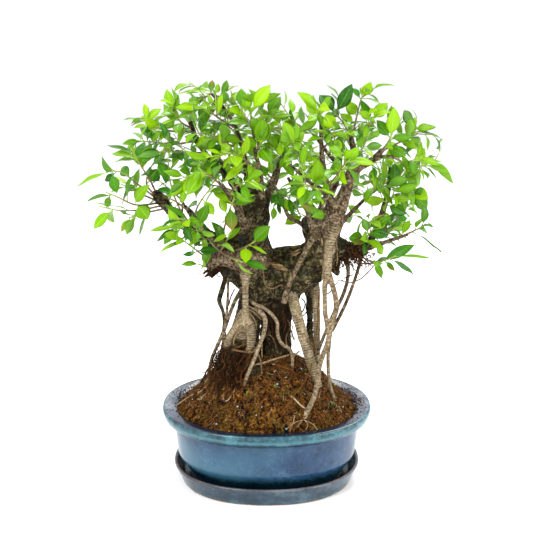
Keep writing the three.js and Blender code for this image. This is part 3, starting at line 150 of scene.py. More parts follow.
# Added leaves, on the same shoots and on thin side shoots, kept out of the views of the trunks.
EXTRA_CLEARANCE = 3.6
MORE_LEAF = 27.0
SMALL_LEAF = 24.0
MORE_FIRST_FOOT = 0.12
SMALL_FIRST_FOOT = 0.25
ADDED_LOOSENESS = 3.2
DRY_FROM = 0.965
SIDE_SPACING = 26.0
SIDE_LENGTH = 26.0
SIDE_LENGTH_SPREAD = 10.0
SIDE_RADII = (0.85, 0.65, 0.45)
STEM_BASE_RADIUS = 1.5
STEM_TIP_RADIUS = 0.75
SPARSE_BRANCHES = ("stub_", "left_", "middle_", "front_left", "rear_limb", "right_02", "right_03")
OPEN_VIEWS = (
    ((-46, -200, 336), (8, 5, 425)),
    ((45, -200, 319), (107, 5, 411)),
    ((-60, -200, 250), (50, 5, 340)),
)

# Turquoise fertiliser granules on the soil: x, y.
GRANULES = ((-62, -33), (15, -57), (-40, -73), (-69, -80), (27, -92), (49, -29))

# Places where the bark is painted with shade: the dark hollow between the two old trunks, and the root ball
# at the left: centre and half sizes.
PAINTED_SHADE_PLACES = (((24, -6, 238), (25, 22, 46)), ((-46, -34, 184), (36, 26, 26)))

# The tree's lines are given as the photograph shows them: pixels across and down, then the depth in
# millimetres, positive away from the front, and for wood its radius in millimetres after its kind of bark.

# Trunks, limbs and roots of the tree: the points along each, with the radius there.
WOOD_SEEN = {
    "lower_trunk": ["dark", [243, 387, 8, 34], [243, 364, 6, 28], [244, 340, 3, 21],
        [247.5, 322, 0, 20], [251, 309, 0, 20], [258, 296, 0, 22], [266, 281, 0, 25]],
    "rear_trunk": ["dark", [280, 388, 20, 28], [277.5, 358, 18, 24], [276, 332, 16, 22],
        [279, 306, 12, 22], [287, 286, 6, 25]],
    "bridge": ["dark", [226, 268, 0, 15], [242, 272, 0, 21], [260, 279, -1, 26], [280, 281, -2, 27],
        [299, 275, -2, 27], [313, 261, -2, 27], [322, 245, -1, 26], [325, 230, 0, 24],
        [325, 220, 2, 18]],
    "left_trunk": ["dark", [251, 280, 2, 27], [252, 260, 3, 28], [251, 238, 5, 25], [253, 216, 6, 23],
        [254, 201, 6, 21.5], [254, 194, 6, 15]],
    "knob": ["grey", [327, 236, -9, 16], [331, 223, -8, 19], [335, 212, -6, 16.5], [338, 203, -5, 11]],
    "shoulder": ["dark", [316, 240, 6, 16], [311, 228, 7, 13], [309, 219, 8, 9]],
    "right_snag": ["dark", [328, 256, 2, 13], [335, 266, 3, 8.5], [338, 275, 4, 4.5]],
    "dead_log": ["dark", [264, 268, 8, 9], [275, 258, 11, 11.5], [289, 255, 13, 12],
        [304, 254, 11, 11]],
    "left_stub": ["grey", [256, 263, -14, 15], [240, 260, -16, 14], [226, 258, -17, 12],
        [216, 260, -17, 11], [210, 268, -17, 8]],
    "left_limb": ["dark", [246, 256, 2, 18], [230, 250, -6, 15], [215, 242, -11, 12],
        [201, 233, -15, 9.5], [188, 227, -17, 8.5], [176, 218, -18, 6.5], [167, 207, -18, 6],
        [160, 198, -18, 8], [155, 192, -18, 5]],
    "left_root": ["pale", [248, 262, -18, 9], [246.5, 270, -23, 6.6], [246, 280, -26, 4.5],
        [246, 292, -27, 4.2], [246, 306, -27, 4.3], [246, 314, -25, 5.6], [245.5, 321, -23, 8]],
    "left_root_foot_1": ["pale", [245, 320, -23, 7], [238, 326, -23, 6], [231.5, 335, -22, 5.4],
        [228, 346, -21, 5.6], [226, 358, -21, 5.8], [225, 373, -22, 5.8]],
    "left_root_foot_2": ["pale", [246, 319, -24, 7.5], [251, 328, -26, 7.4], [252, 339, -29, 6.3],
        [250.5, 350, -32, 5.6], [248.5, 361, -36, 5.4], [246, 376, -42, 5]],
    "root_fan": ["pale", [246.5, 311, -18, 8], [243.5, 321, -15, 13], [241, 334, -11, 14]],
    "root_ball_left": ["dark", [237, 345, -20, 10], [231, 357, -25, 16], [227, 374, -27, 18]],
    "root_ball_right": ["dark", [249, 346, -24, 8], [251, 358, -32, 12], [251, 374, -42, 14]],
    "looped_root": ["tan", [249.5, 299, -10, 3.2], [256, 304.5, -28, 2.5], [265, 308.5, -32, 2.5],
        [273, 315, -35, 2.5], [277.5, 323, -35, 2.4], [278, 331, -34, 2.4], [279.5, 340, -33, 2.4],
        [284, 345.5, -31, 2.4], [290, 348, -29, 2.4], [292.5, 356, -28, 2.4], [292.3, 370, -30, 2.2]],
    "slim_root": ["tan", [254, 306, -11, 4.6], [261, 312, -30, 3.6], [265.7, 319, -35, 3.3],
        [264.7, 331, -39, 3], [260.5, 344, -44, 2.8], [255, 358, -50, 2.8], [248, 375, -57, 2.6],
        [244.5, 386, -54, 2.2]],
    "middle_root": ["pale", [286, 286, -12, 8], [292, 295, -17, 7.6], [296, 307, -20, 7.9],
        [299.5, 321, -22, 7.7], [304.5, 340, -24, 7.4], [309.5, 357, -27, 7.3], [314.5, 372, -29, 6.4],
        [319, 387, -29, 5.2]],
    "straight_root": ["pale", [313, 276, 0, 8], [316.5, 290, -3, 5.8], [317, 306, -5, 5.2],
        [317, 322, -7, 5.1], [317, 342, -10, 5.1], [317.5, 360, -14, 5], [318, 378, -17, 4.8]],
    "shaded_root": ["dark", [307, 284, 12, 8], [310, 299, 12, 5], [310.5, 320, 12, 4.6],
        [311, 344, 10, 4.4], [311, 368, 6, 4.4]],
    "right_root": ["pale", [336, 226, -22, 8], [332, 240, -26, 6.4], [329.5, 252, -28, 5.5],
        [328.5, 264, -30, 5.3], [328, 275, -31, 6]],
    "right_root_fork_1": ["tan", [327.5, 273, -31, 5], [325.6, 285, -33, 3.8], [325.2, 300, -34, 3.2],
        [325.8, 314, -36, 3.4], [328.8, 327, -37, 4.1]],
    "right_root_fork_2": ["tan", [328.5, 273, -31, 5], [333, 285, -33, 3.8], [336.5, 298, -34, 3.7],
        [336.5, 309, -35, 4], [334, 319, -36, 4.1], [330.5, 329, -37, 4.6]],
    "long_front_root": ["tan", [330, 322, -36, 5.2], [329.7, 334, -39, 3.9], [327.5, 344, -42, 3.5],
        [323.5, 355, -46, 3.6], [320, 367, -52, 3.6], [317.8, 382, -60, 3.4], [314.5, 396, -67, 3.6],
        [309, 409, -73, 3.9], [303.5, 421, -76, 3.4]],
    "short_front_root": ["tan", [330.5, 327, -36, 3.4], [329.5, 343, -36, 2.8], [328.7, 357, -35, 2.6],
        [328.7, 372, -33, 2.6], [331, 386, -31, 2.6], [336, 402, -28, 2.3]],
    "outer_root_1": ["grey", [342, 246, 2, 7], [345.5, 258, 3, 4.4], [348.4, 269, 2, 2.9],
        [348, 281, -2, 2.7], [343.5, 295, -7, 2.7], [338, 307, -12, 2.7], [332, 318, -16, 2.7],
        [326.5, 330, -18, 2.6], [321.5, 343, -17, 2.4], [315.5, 361, -14, 2.4]],
    "outer_root_2": ["grey", [362, 250, 6, 4.4], [361, 262, 5, 2.5], [355, 281, 1, 2.5],
        [347.5, 300, -8, 2.6], [340, 316, -20, 2.6], [332.5, 331, -32, 2.9]],
    "slanting_root": ["grey", [319, 228, -13, 6], [312, 240, -29, 4], [303.5, 256, -34, 3.5],
        [295, 273, -36, 3.4], [288, 289, -36, 3.9], [284, 302, -30, 4.2]],
    "hanging_root_1": ["grey", [230, 266, -8, 2.4], [229, 280, -14, 2], [228, 300, -18, 1.9],
        [226.5, 317, -22, 2], [225, 330, -25, 2.1]],
    "hanging_root_2": ["dark", [228, 268, 2, 4], [225.5, 280, 0, 3.4], [222, 292, -5, 3.6],
        [220, 301, -8, 3.4], [223.5, 311, -13, 2.6], [225, 322, -19, 2.4], [224, 331, -25, 2.4]],
    "hanging_root_3": ["grey", [246, 284, -14, 4], [240, 293, -19, 3], [235.5, 301.5, -21, 2.8],
        [229.5, 316, -24, 2.7], [225, 328, -24, 2.8], [219.5, 341, -22, 2.6], [213.5, 355, -18, 2.5],
        [209, 371, -12, 2.4], [208, 382, -9, 2.2]],
    "hanging_root_4": ["grey", [225, 333, -24, 2.4], [222, 350, -15, 2.1], [219, 370, -6, 2]],
    "burl": ["dark", [334, 246, 2, 17], [345, 249, 4, 12], [356, 252, 6, 9], [366, 251, 8, 6.5]],
    "upper_trunk": ["grey", [339, 210, -5, 10.5], [344, 198, -6, 8.6], [347, 187, -7, 7.8],
        [350, 176, -8, 7.2]],
    "left_top_2": ["dark", [248, 206, 6, 8], [238, 190, 3, 5.4], [222, 171, -2, 4.4],
        [206, 153, -6, 3.6], [196, 138, -8, 3], [191, 122, -9, 2.4]],
}

# Twigs that belong to a leafy branch.
TWIGS_SEEN = {
    "right_riser": ["grey", [362, 250, 9, 6], [371, 240, 15, 5], [379, 223, 21, 4.4], [385, 205, 25, 4],
        [389, 186, 27, 3.8], [391, 168, 27, 3]],
    "right_leader": ["grey", [333, 207, -7, 7], [329, 194, -9, 5.4], [326, 180, -11, 4.4],
        [323, 160, -13, 3.5], [321.6, 140, -13, 2.7], [321, 120, -12, 2]],
    "right_side_shoot_1": ["grey", [329, 198, -8, 4], [320, 188, -4, 3.2], [310, 182, 0, 2.8],
        [296, 169.6, 6, 2.4], [287, 162, 9, 2]],
    "right_side_shoot_2": ["grey", [331, 197, -4, 4], [338, 180, 4, 3], [341, 158, 8, 2.5],
        [340, 138, 10, 2]],
    "upper_fork_1": ["grey", [349, 180, -7, 6.2], [353, 166, -6, 5.4], [354, 150, -4, 4.6],
        [351, 136, -2, 3.2]],
    "upper_fork_2": ["grey", [349, 181, -8, 6.2], [360, 168, -12, 5.2], [373, 160, -14, 4.6],
        [383, 150, -15, 3.6]],
    "upper_fork_3": ["grey", [372, 161, -14, 3.4], [383, 157, -11, 2.8], [394, 157, -7, 2.3]],
    "upper_fork_4": ["grey", [349, 184, -5, 4], [338, 166, 2, 3.1], [326, 150, 8, 2.6],
        [316, 137, 12, 2.2], [309, 129, 15, 1.9]],
    "shoulder_twig_1": ["grey", [314, 232, -20, 5], [309, 216, -26, 3.4], [305, 199, -29, 2.9],
        [303, 184, -30, 2.6], [302, 166, -29, 2.1]],
    "shoulder_twig_2": ["grey", [312, 230, 8, 5], [300, 223, 13, 3.2], [290, 217, 17, 2.9],
        [284, 205, 21, 2.6], [279, 192, 24, 2.3], [270, 180, 26, 1.9]],
    "shoulder_twig_3": ["grey", [338, 226, 4, 5], [349, 215, 9, 3.2], [357, 207, 14, 2.8],
        [366, 198, 20, 2.2]],
    "rear_limb_1": ["grey", [326, 228, 14, 11], [332, 213, 42, 6.5], [340, 196, 76, 4.6],
        [349, 178, 106, 3.2], [355, 164, 128, 2.2]],
    "rear_limb_2": ["grey", [318, 228, 14, 8], [309, 212, 46, 4.8], [298, 194, 80, 3.4],
        [289, 178, 108, 2.3]],
    "left_top_1": ["grey", [261, 204, 0, 7], [262, 190, -5, 4.2], [260, 170, -9, 3.2],
        [256, 152, -12, 2.5], [254, 134, -13, 1.9]],
    "left_top_3": ["grey", [254, 200, 4, 6], [248, 178, 2, 4], [244, 152, 0, 3.2], [236, 128, 0, 2.7],
        [224, 108, 1, 2.2], [211, 93, 2, 1.5]],
    "left_top_4": ["grey", [263, 206, 11, 7], [270, 188, 24, 4], [278, 168, 36, 3],
        [284, 148, 46, 2.2]],
    "rear_limb_3": ["dark", [250, 210, 16, 12], [241, 194, 46, 6], [230, 176, 80, 4.2],
        [218, 158, 108, 3], [210, 146, 126, 2.1]],
    "rear_limb_4": ["grey", [260, 212, 16, 9], [268, 198, 50, 5], [276, 182, 86, 3.6],
        [280, 168, 114, 2.4]],
    "front_limb_1": ["grey", [246, 226, -14, 7], [238, 210, -42, 4], [228, 194, -70, 3],
        [219, 182, -92, 2.1]],
    "rear_limb_5": ["dark", [216, 243, -4, 7], [204, 229, 24, 4.6], [191, 213, 54, 3.4],
        [180, 198, 82, 2.3]],
    "front_limb_2": ["grey", [222, 249, -14, 6], [213, 240, -42, 3.6], [203, 229, -68, 2.6]],
    "front_limb_3": ["grey", [318, 224, -22, 6], [321, 208, -48, 3.8], [328, 192, -74, 2.9],
        [336, 178, -96, 2]],
    "low_limb_1": ["grey", [360, 250, 4, 5.4], [374, 246, -8, 3.4], [390, 241, -17, 2.7],
        [408, 234, -24, 2.1]],
    "low_limb_2": ["grey", [356, 248, 12, 6], [369, 240, 42, 3.8], [381, 230, 70, 2.8],
        [391, 221, 94, 2]],
}

# Leafy branches. A shoot is its number of leaves, its tone from old to young, and its points.
# A leaf with a place of its own is its foot, its tip, its width in millimetres, how much it faces
# the front and its tone.
BRANCHES_SEEN = {
    "left_01": {
        "twigs": [],
        "shoots": [
            [2, 0.55, [157, 199, -18], [139, 185, -24], [121, 172, -30], [106, 172, -34]],
        ],
        "leaves": [
            [[104, 172, -34], [76, 178, -38], 11, 0.5, 0.75],
            [[119, 171, -31], [102, 179, -24], 11, 0.6, 0.35],
            [[114, 172, -32], [117, 190, -38], 15, 0.9, 0.6],
        ],
    },
    "left_02": {
        "twigs": [],
        "shoots": [
            [2, 0.6, [156, 200, -18], [137, 192, -6], [121, 184, 4]],
        ],
        "leaves": [
            [[122, 184, 4], [138, 190, 8], 10, 0.7, 0.6],
        ],
    },
    "left_03": {
        "twigs": [],
        "shoots": [
            [2, 0.4, [158, 203, -18], [137, 205, -34], [117, 197, -46], [106, 192, -50]],
        ],
        "leaves": [
            [[113, 196, -46], [99, 195, -54], 15, 0.9, 0.3],
            [[110, 197, -46], [106, 208, -50], 10, 0.9, 0.4],
            [[137, 203, -36], [148, 219, -42], 22, 1, 0.3],
        ],
    },
    "left_04": {
        "twigs": [],
        "shoots": [
            [2, 0.7, [161, 206, -18], [139, 210, 0], [118, 210, 12], [99, 206, 20]],
        ],
        "leaves": [
            [[113, 211, 14], [92, 227, 8], 15, 0.8, 0.75],
            [[118, 211, 12], [129, 214, 10], 7, 0.6, 0.6],
        ],
    },
    "left_05": {
        "twigs": [],
        "shoots": [
            [2, 0.6, [167, 208, -18], [143, 214, -4], [129, 218, 0]],
        ],
        "leaves": [
            [[129, 218, 0], [120, 231, -6], 9, 0.8, 0.6],
        ],
    },
    "left_06": {
        "twigs": [],
        "shoots": [
            [2, 0.2, [158, 198, -18], [147, 184, -12], [151, 168, -4], [160, 156, 2]],
        ],
        "leaves": [
            [[144, 187, -12], [156, 170, -18], 20, 1, 0.1],
        ],
    },
    "left_07": {
        "twigs": [],
        "shoots": [
            [2, 0.45, [159, 198, -18], [150, 180, -24], [140, 164, -28], [132, 149, -30]],
        ],
        "leaves": [
            [[133, 154, -29], [110, 141, -34], 8, 0.4, 0.3],
            [[137, 161, -28], [115, 156, -22], 11, 0.6, 0.4],
            [[132, 150, -30], [129, 140, -34], 13, 1, 0.7],
            [[142, 166, -27], [150, 146, -34], 18, 1, 0.15],
            [[144, 169, -25], [144, 155, -12], 14, 0.9, 0.2],
        ],
    },
    "left_08": {
        "twigs": [],
        "shoots": [
            [2, 0.6, [182, 222, -18], [183, 203, -24], [186, 180, -28], [190, 168, -28]],
        ],
        "leaves": [
            [[186, 181, -28], [220, 160, -34], 13, 0.7, 0.45],
            [[187, 176, -28], [202, 162, -22], 9, 0.7, 0.55],
        ],
    },
    "left_09": {
        "twigs": [],
        "shoots": [
            [2, 0.4, [194, 229, -16], [179, 206, -34], [171, 182, -42], [168, 157, -46]],
        ],
        "leaves": [
            [[172, 182, -42], [160, 163, -50], 17, 0.9, 0.4],
            [[171, 178, -42], [184, 186, -50], 10, 0.8, 0.15],
        ],
    },
    "left_10": {
        "twigs": [],
        "shoots": [
            [2, 0.45, [200, 233, -16], [188, 229, -42], [176, 227, -54]],
            [1, 0.45, [188, 229, -42], [184, 238, -58], [178, 240, -66]],
        ],
        "leaves": [
            [[177, 227, -52], [151, 227, -60], 9, 0.6, 0.5],
            [[178, 228, -52], [153, 240, -56], 9, 0.6, 0.15],
            [[179, 240, -66], [174, 248, -70], 6, 0.8, 0.5],
        ],
    },
    "left_11": {
        "twigs": [],
        "shoots": [
            [2, 0.35, [210, 261, -18], [199, 252, -34], [186, 242, -44], [177, 236, -48]],
        ],
        "leaves": [
            [[194, 248, -38], [198, 236, -44], 12, 0.9, 0.4],
            [[197, 250, -36], [214, 247, -44], 12, 0.8, 0.15],
        ],
    },
    "left_12": {
        "twigs": [],
        "shoots": [
            [1, 0.5, [210, 267, -18], [205, 267, -30], [199, 264, -38]],
        ],
        "leaves": [
            [[199, 264, -38], [183, 262, -44], 11, 0.5, 0.5],
            [[199, 265, -38], [190, 276, -44], 15, 0.9, 0.5],
        ],
    },
    "left_13": {
        "twigs": [],
        "shoots": [
            [2, 0.5, [203, 233, -14], [196, 214, -40], [205, 196, -58], [214, 186, -70]],
        ],
        "leaves": [
            [[205, 200, -56], [214, 214, -62], 13, 0.8, 0.6],
        ],
    },
    "stub_01": {
        "twigs": [],
        "shoots": [
            [1, 0.55, [219, 257, -20], [220.5, 252, -33], [226, 243, -46], [232, 230, -56]],
            [1, 0.55, [220.5, 252, -33], [213, 245, -41], [207, 236, -48]],
            [1, 0.55, [220.5, 252, -33], [232, 258, -47], [243, 262, -56]],
        ],
        "leaves": [
            [[231, 231, -56], [214, 239, -62], 9, 0.6, 0.7],
            [[208, 236, -48], [198, 221, -56], 14, 0.9, 0.15],
            [[243, 262, -56], [267, 266, -62], 12, 0.7, 0.55],
        ],
    },
    "stub_02": {
        "twigs": [],
        "shoots": [
            [2, 0.5, [233, 252, -12], [247, 246, -42], [257, 240, -52]],
        ],
        "leaves": [
            [[255, 241, -50], [267, 234, -56], 13, 0.9, 0.35],
            [[249, 246, -44], [268, 250, -50], 7, 0.5, 0.65],
        ],
    },
    "middle_01": {
        "twigs": [],
        "shoots": [
            [2, 0.6, [222, 238, -18], [228, 215, -52], [235, 197, -66]],
        ],
        "leaves": [
            [[231, 206, -60], [231, 230, -68], 18, 1, 0.1],
            [[235, 197, -66], [252, 192, -72], 8, 0.5, 0.75],
            [[230, 203, -62], [215, 192, -70], 11, 0.6, 0.85],
        ],
    },
    "middle_02": {
        "twigs": [],
        "shoots": [
            [2, 0.75, [246, 222, -13], [241, 206, -40], [236, 190, -58], [226, 178, -72]],
        ],
        "leaves": [],
    },
    "upper_left_01": {
        "twigs": ["left_top_1"],
        "shoots": [
            [2, 0.7, [255, 143, -12], [251.5, 124, -19], [251, 108, -24]],
            [2, 0.7, [253, 128, -16], [246, 118, -2], [241, 106, 6]],
            [2, 0.75, [256, 152, -12], [260, 146, -30], [263, 138, -36]],
            [2, 0.65, [256.2, 153, -12], [266, 132, -2], [268, 114, 2]],
            [3, 0.85, [259, 169, -9], [246, 160, -36], [232, 154, -52], [222, 151, -62]],
        ],
        "leaves": [
            [[252, 107, -24], [269, 86, -30], 19, 0.95, 0.9],
            [[251, 114, -23], [259, 133, -30], 13, 0.9, 0.3],
            [[246, 118, -2], [235, 104, 4], 6, 0.3, 0.7],
            [[263, 147, -30], [264, 121, -40], 21, 1, 0.8],
            [[259, 150, -24], [247, 138, -34], 15, 0.9, 0.9],
            [[267, 113, 2], [279, 97, -2], 17, 0.95, 0.75],
            [[268, 118, 2], [292, 111, 8], 9, 0.5, 0.4],
            [[247, 172, -40], [226, 177, -52], 13, 0.6, 0.9],
        ],
    },
    "upper_left_02": {
        "twigs": ["left_top_3"],
        "shoots": [
            [2, 0.6, [211, 93, 2], [206, 97, -8], [199, 100, -14]],
            [2, 0.6, [212, 94, 2], [219, 96, 12], [224, 96, 18]],
            [3, 0.6, [236, 128, 0], [222, 120, -14], [208, 110, -24], [198, 106, -30]],
            [3, 0.45, [243, 150, 0], [228, 144, -20], [214, 136, -32], [204, 132, -40]],
            [3, 0.55, [243, 150, 0], [238, 136, 22], [228, 124, 36], [224, 114, 44]],
        ],
        "leaves": [
            [[210, 93, 1], [180, 86, -8], 9, 0.4, 0.85],
            [[211, 93, 2], [213, 79, 8], 9, 0.8, 0.5],
            [[226, 143, -20], [213, 138, -34], 12, 0.7, 0.85],
            [[222, 141, -22], [214, 158, -36], 16, 0.9, 0.1],
        ],
    },
    "upper_left_03": {
        "twigs": [],
        "shoots": [
            [2, 0.6, [192, 128, -8], [181, 122, -20], [172, 108, -26]],
        ],
        "leaves": [
            [[172, 108, -26], [166, 91, -30], 13, 0.9, 0.9],
            [[171, 109, -26], [162, 98, -34], 9, 0.7, 0.2],
            [[177, 116, -23], [167, 110, -34], 17, 0.9, 0.1],
        ],
    },
    "upper_left_04": {
        "twigs": [],
        "shoots": [
            [3, 0.65, [193, 131, -9], [170, 131, -18], [150, 124, -22], [140, 118, -22]],
        ],
        "leaves": [
            [[141, 118, -22], [126, 114, -26], 7, 0.5, 0.35],
            [[146, 122, -22], [158, 108, -28], 12, 0.8, 0.9],
        ],
    },
    "upper_left_05": {
        "twigs": [],
        "shoots": [
            [3, 0.35, [197, 141, -8], [174, 144, 2], [152, 142, 8], [138, 141, 10]],
        ],
        "leaves": [
            [[138, 141, 10], [126, 139, 8], 10, 0.6, 0.2],
        ],
    },
    "upper_left_06": {
        "twigs": [],
        "shoots": [
            [4, 0.35, [206, 153, -6], [188, 152, -34], [170, 152, -48], [160, 152, -54]],
        ],
        "leaves": [],
    },
    "upper_left_07": {
        "twigs": [],
        "shoots": [
            [4, 0.5, [222, 171, -2], [206, 170, -36], [192, 174, -56], [184, 180, -66]],
        ],
        "leaves": [],
    },
    "upper_left_08": {
        "twigs": [],
        "shoots": [
            [3, 0.3, [248, 176, 2], [232, 166, 20], [214, 158, 32], [204, 160, 38]],
        ],
        "leaves": [],
    },
    "upper_left_09": {
        "twigs": ["left_top_4"],
        "shoots": [
            [3, 0.6, [282, 155, 42], [284, 136, 50], [280, 122, 54]],
        ],
        "leaves": [
            [[272, 118, 40], [282, 127, 30], 8, 0.6, 0.7],
        ],
    },
    "rear_left": {
        "twigs": ["rear_limb_3"],
        "shoots": [
            [2, 0.4, [211, 147, 124], [200, 134, 146], [192, 120, 160]],
            [2, 0.35, [230, 176, 80], [206, 168, 104], [188, 162, 122]],
            [2, 0.4, [218, 158, 108], [226, 142, 134], [236, 132, 154]],
            [2, 0.5, [240, 193, 48], [218, 186, 66], [200, 184, 78]],
        ],
        "leaves": [],
    },
    "rear_middle": {
        "twigs": ["rear_limb_4"],
        "shoots": [
            [2, 0.45, [280, 169, 112], [286, 154, 136], [288, 140, 152]],
            [2, 0.35, [276, 182, 86], [262, 168, 108], [252, 154, 128]],
        ],
        "leaves": [],
    },
    "rear_limb": {
        "twigs": ["rear_limb_5"],
        "shoots": [
            [2, 0.4, [181, 199, 80], [166, 186, 102], [154, 176, 118]],
            [2, 0.45, [191, 213, 54], [174, 200, 72], [160, 196, 84]],
        ],
        "leaves": [],
    },
    "front_limb": {
        "twigs": ["front_limb_2"],
        "shoots": [
            [4, 0.5, [204, 230, -66], [190, 222, -90], [178, 218, -106]],
        ],
        "leaves": [],
    },
    "front_left": {
        "twigs": ["front_limb_1"],
        "shoots": [
            [4, 0.6, [220, 183, -90], [208, 174, -112], [198, 168, -128]],
            [3, 0.7, [228, 194, -70], [240, 184, -96], [250, 180, -112]],
        ],
        "leaves": [],
    },
    "upper_right_01": {
        "twigs": ["right_leader", "right_side_shoot_2"],
        "shoots": [
            [2, 0.8, [321, 121, -12], [320, 110, -16]],
            [2, 0.75, [322, 150, -13], [332, 138, -30], [336, 126, -36]],
        ],
        "leaves": [
            [[321, 114, -14], [303, 90, -22], 16, 0.8, 0.95],
            [[319, 117, -14], [307, 103, -6], 13, 0.9, 0.85],
            [[318, 119, -14], [302, 128, -20], 12, 0.8, 0.5],
            [[336, 131, -34], [327, 116, -42], 19, 1, 0.85],
            [[328, 140, -24], [338, 153, -36], 14, 0.9, 0.15],
        ],
    },
    "upper_right_02": {
        "twigs": ["upper_fork_1"],
        "shoots": [
            [2, 0.1, [351, 137, -3], [343, 122, -10], [334, 112, -14]],
            [2, 0.75, [352, 140, -3], [356, 120, 4], [360, 104, 8], [364, 92, 10]],
            [2, 0.6, [354, 158, -5], [364, 134, -16], [374, 116, -22]],
        ],
        "leaves": [
            [[336, 112, -13], [352, 86, -22], 18, 0.8, 0],
            [[333, 111, -14], [321, 93, -8], 20, 0.7, 0.1],
            [[337, 113, -12], [336, 83, -4], 22, 0.8, 0.05],
            [[334, 110, -14], [326, 118, -26], 12, 0.9, 0.1],
            [[358, 116, 5], [349, 103, -6], 16, 0.95, 0.75],
            [[353, 124, 2], [343, 113, -4], 12, 0.9, 0.9],
            [[362, 98, 9], [371, 84, 4], 14, 0.9, 0.9],
            [[361, 100, 8], [352, 85, 12], 11, 0.6, 0.2],
            [[374, 116, -22], [386, 104, -28], 17, 0.8, 0.6],
            [[373, 118, -22], [363, 112, -34], 11, 0.9, 0.9],
        ],
    },
    "upper_right_03": {
        "twigs": ["upper_fork_2", "upper_fork_3"],
        "shoots": [
            [2, 0.4, [382, 151, -15], [390, 140, -28], [394, 130, -34]],
            [2, 0.6, [393, 157, -7], [404, 162, -2], [420, 166, 4], [437, 165, 8]],
            [3, 0.35, [383, 151, -15], [400, 142, 6], [414, 134, 14], [422, 130, 18]],
        ],
        "leaves": [
            [[394, 140, -32], [395, 112, -42], 19, 1, 0.5],
            [[391, 139, -30], [380, 122, -38], 15, 0.9, 0.35],
            [[384, 126, -20], [392, 104, -26], 12, 0.9, 0.45],
            [[436, 165, 8], [458, 180, 6], 12, 0.6, 0.45],
            [[424, 166, 5], [440, 176, 8], 6, 0.4, 0.6],
            [[434, 165, 8], [445, 159, 12], 7, 0.5, 0.8],
            [[414, 130, 14], [432, 122, 20], 12, 0.4, 0.3],
            [[404, 140, 8], [416, 116, 14], 14, 0.7, 0.55],
        ],
    },
    "upper_right_04": {
        "twigs": ["upper_fork_4"],
        "shoots": [
            [3, 0.7, [310, 130, 14], [298, 124, 22], [290, 118, 30]],
        ],
        "leaves": [
            [[314, 130, 10], [291, 112, 18], 10, 0.7, 0.25],
        ],
    },
    "upper_right_05": {
        "twigs": ["right_side_shoot_1"],
        "shoots": [
            [3, 0.75, [288, 163, 9], [279, 152, -4], [270, 146, -12]],
        ],
        "leaves": [
            [[276, 150, -8], [262, 158, -20], 15, 0.9, 0.9],
        ],
    },
    "upper_right_06": {
        "twigs": ["shoulder_twig_1"],
        "shoots": [
            [3, 0.85, [302, 168, -29], [298, 152, -40], [291, 138, -48]],
        ],
        "leaves": [
            [[296, 146, -44], [286, 123, -54], 18, 0.95, 0.95],
        ],
    },
    "upper_right_07": {
        "twigs": ["shoulder_twig_2"],
        "shoots": [
            [3, 0.35, [274.5, 186, 25], [281, 194, 8], [292, 198, -6]],
        ],
        "leaves": [
            [[292, 200, -6], [300, 182, -14], 14, 0.9, 0.15],
        ],
    },
    "upper_right_08": {
        "twigs": ["shoulder_twig_3"],
        "shoots": [
            [4, 0.6, [365, 199, 20], [378, 190, 6], [388, 186, -4]],
        ],
        "leaves": [],
    },
    "right_01": {
        "twigs": ["right_riser"],
        "shoots": [
            [2, 0.4, [391, 170, 27], [400, 180, 22], [410, 188, 16], [416, 196, 12]],
            [3, 0.6, [383, 209, 24], [392, 198, 10], [396, 188, 2]],
            [3, 0.5, [389, 188, 27], [398, 178, 48], [406, 168, 62]],
        ],
        "leaves": [
            [[411, 187, 16], [426, 194, 12], 19, 0.9, 0.5],
            [[414, 192, 14], [429, 209, 10], 19, 0.9, 0.25],
            [[402, 180, 20], [420, 170, 24], 14, 0.8, 0.3],
            [[398, 184, 22], [408, 213, 14], 10, 0.9, 0.6],
            [[390, 200, 12], [409, 194, 8], 12, 0.6, 0.6],
        ],
    },
    "right_02": {
        "twigs": ["low_limb_1"],
        "shoots": [
            [2, 0.55, [407, 234, -24], [418, 229, -26], [426, 224, -28]],
        ],
        "leaves": [
            [[424, 226, -28], [436, 226, -30], 8, 0.5, 0.4],
            [[408, 233, -24], [424, 226, -30], 8, 0.6, 0.2],
            [[400, 233, -20], [412, 220, -14], 10, 0.7, 0.7],
            [[412, 232, -26], [446, 246, -28], 6, 0.5, 0.4],
        ],
    },
    "right_03": {
        "twigs": [],
        "shoots": [
            [2, 0.45, [360, 256, 4], [374, 262, -18], [386, 260, -30], [396, 256, -36]],
        ],
        "leaves": [
            [[380, 261, -26], [412, 245, -38], 15, 0.8, 0.35],
            [[396, 256, -36], [428, 249, -40], 6, 0.4, 0.5],
            [[384, 261, -30], [396, 270, -36], 8, 0.6, 0.2],
            [[372, 263, -16], [384, 277, -24], 11, 0.9, 0.25],
        ],
    },
    "right_04": {
        "twigs": [],
        "shoots": [
            [3, 0.4, [357, 250, 6], [366, 238, -14], [374, 228, -26]],
        ],
        "leaves": [
            [[366, 238, -14], [352, 238, -28], 18, 1, 0.2],
            [[376, 226, -28], [388, 216, -34], 14, 0.8, 0.75],
        ],
    },
    "right_05": {
        "twigs": ["low_limb_2"],
        "shoots": [
            [3, 0.35, [390, 222, 90], [402, 212, 108], [410, 204, 120]],
            [3, 0.45, [369, 240, 42], [384, 234, 34], [398, 226, 26]],
        ],
        "leaves": [
            [[396, 226, 26], [412, 221, 22], 8, 0.6, 0.7],
        ],
    },
    "rear_right_01": {
        "twigs": ["rear_limb_1"],
        "shoots": [
            [2, 0.4, [354, 165, 126], [362, 150, 146], [368, 138, 160]],
            [2, 0.4, [341, 195, 78], [362, 184, 102], [380, 178, 120]],
            [2, 0.5, [349, 178, 106], [336, 160, 128], [330, 146, 142]],
        ],
        "leaves": [],
    },
    "rear_right_02": {
        "twigs": ["rear_limb_2"],
        "shoots": [
            [2, 0.4, [291.3, 182, 101], [302, 166, 130], [310, 152, 150]],
        ],
        "leaves": [],
    },
    "front_right": {
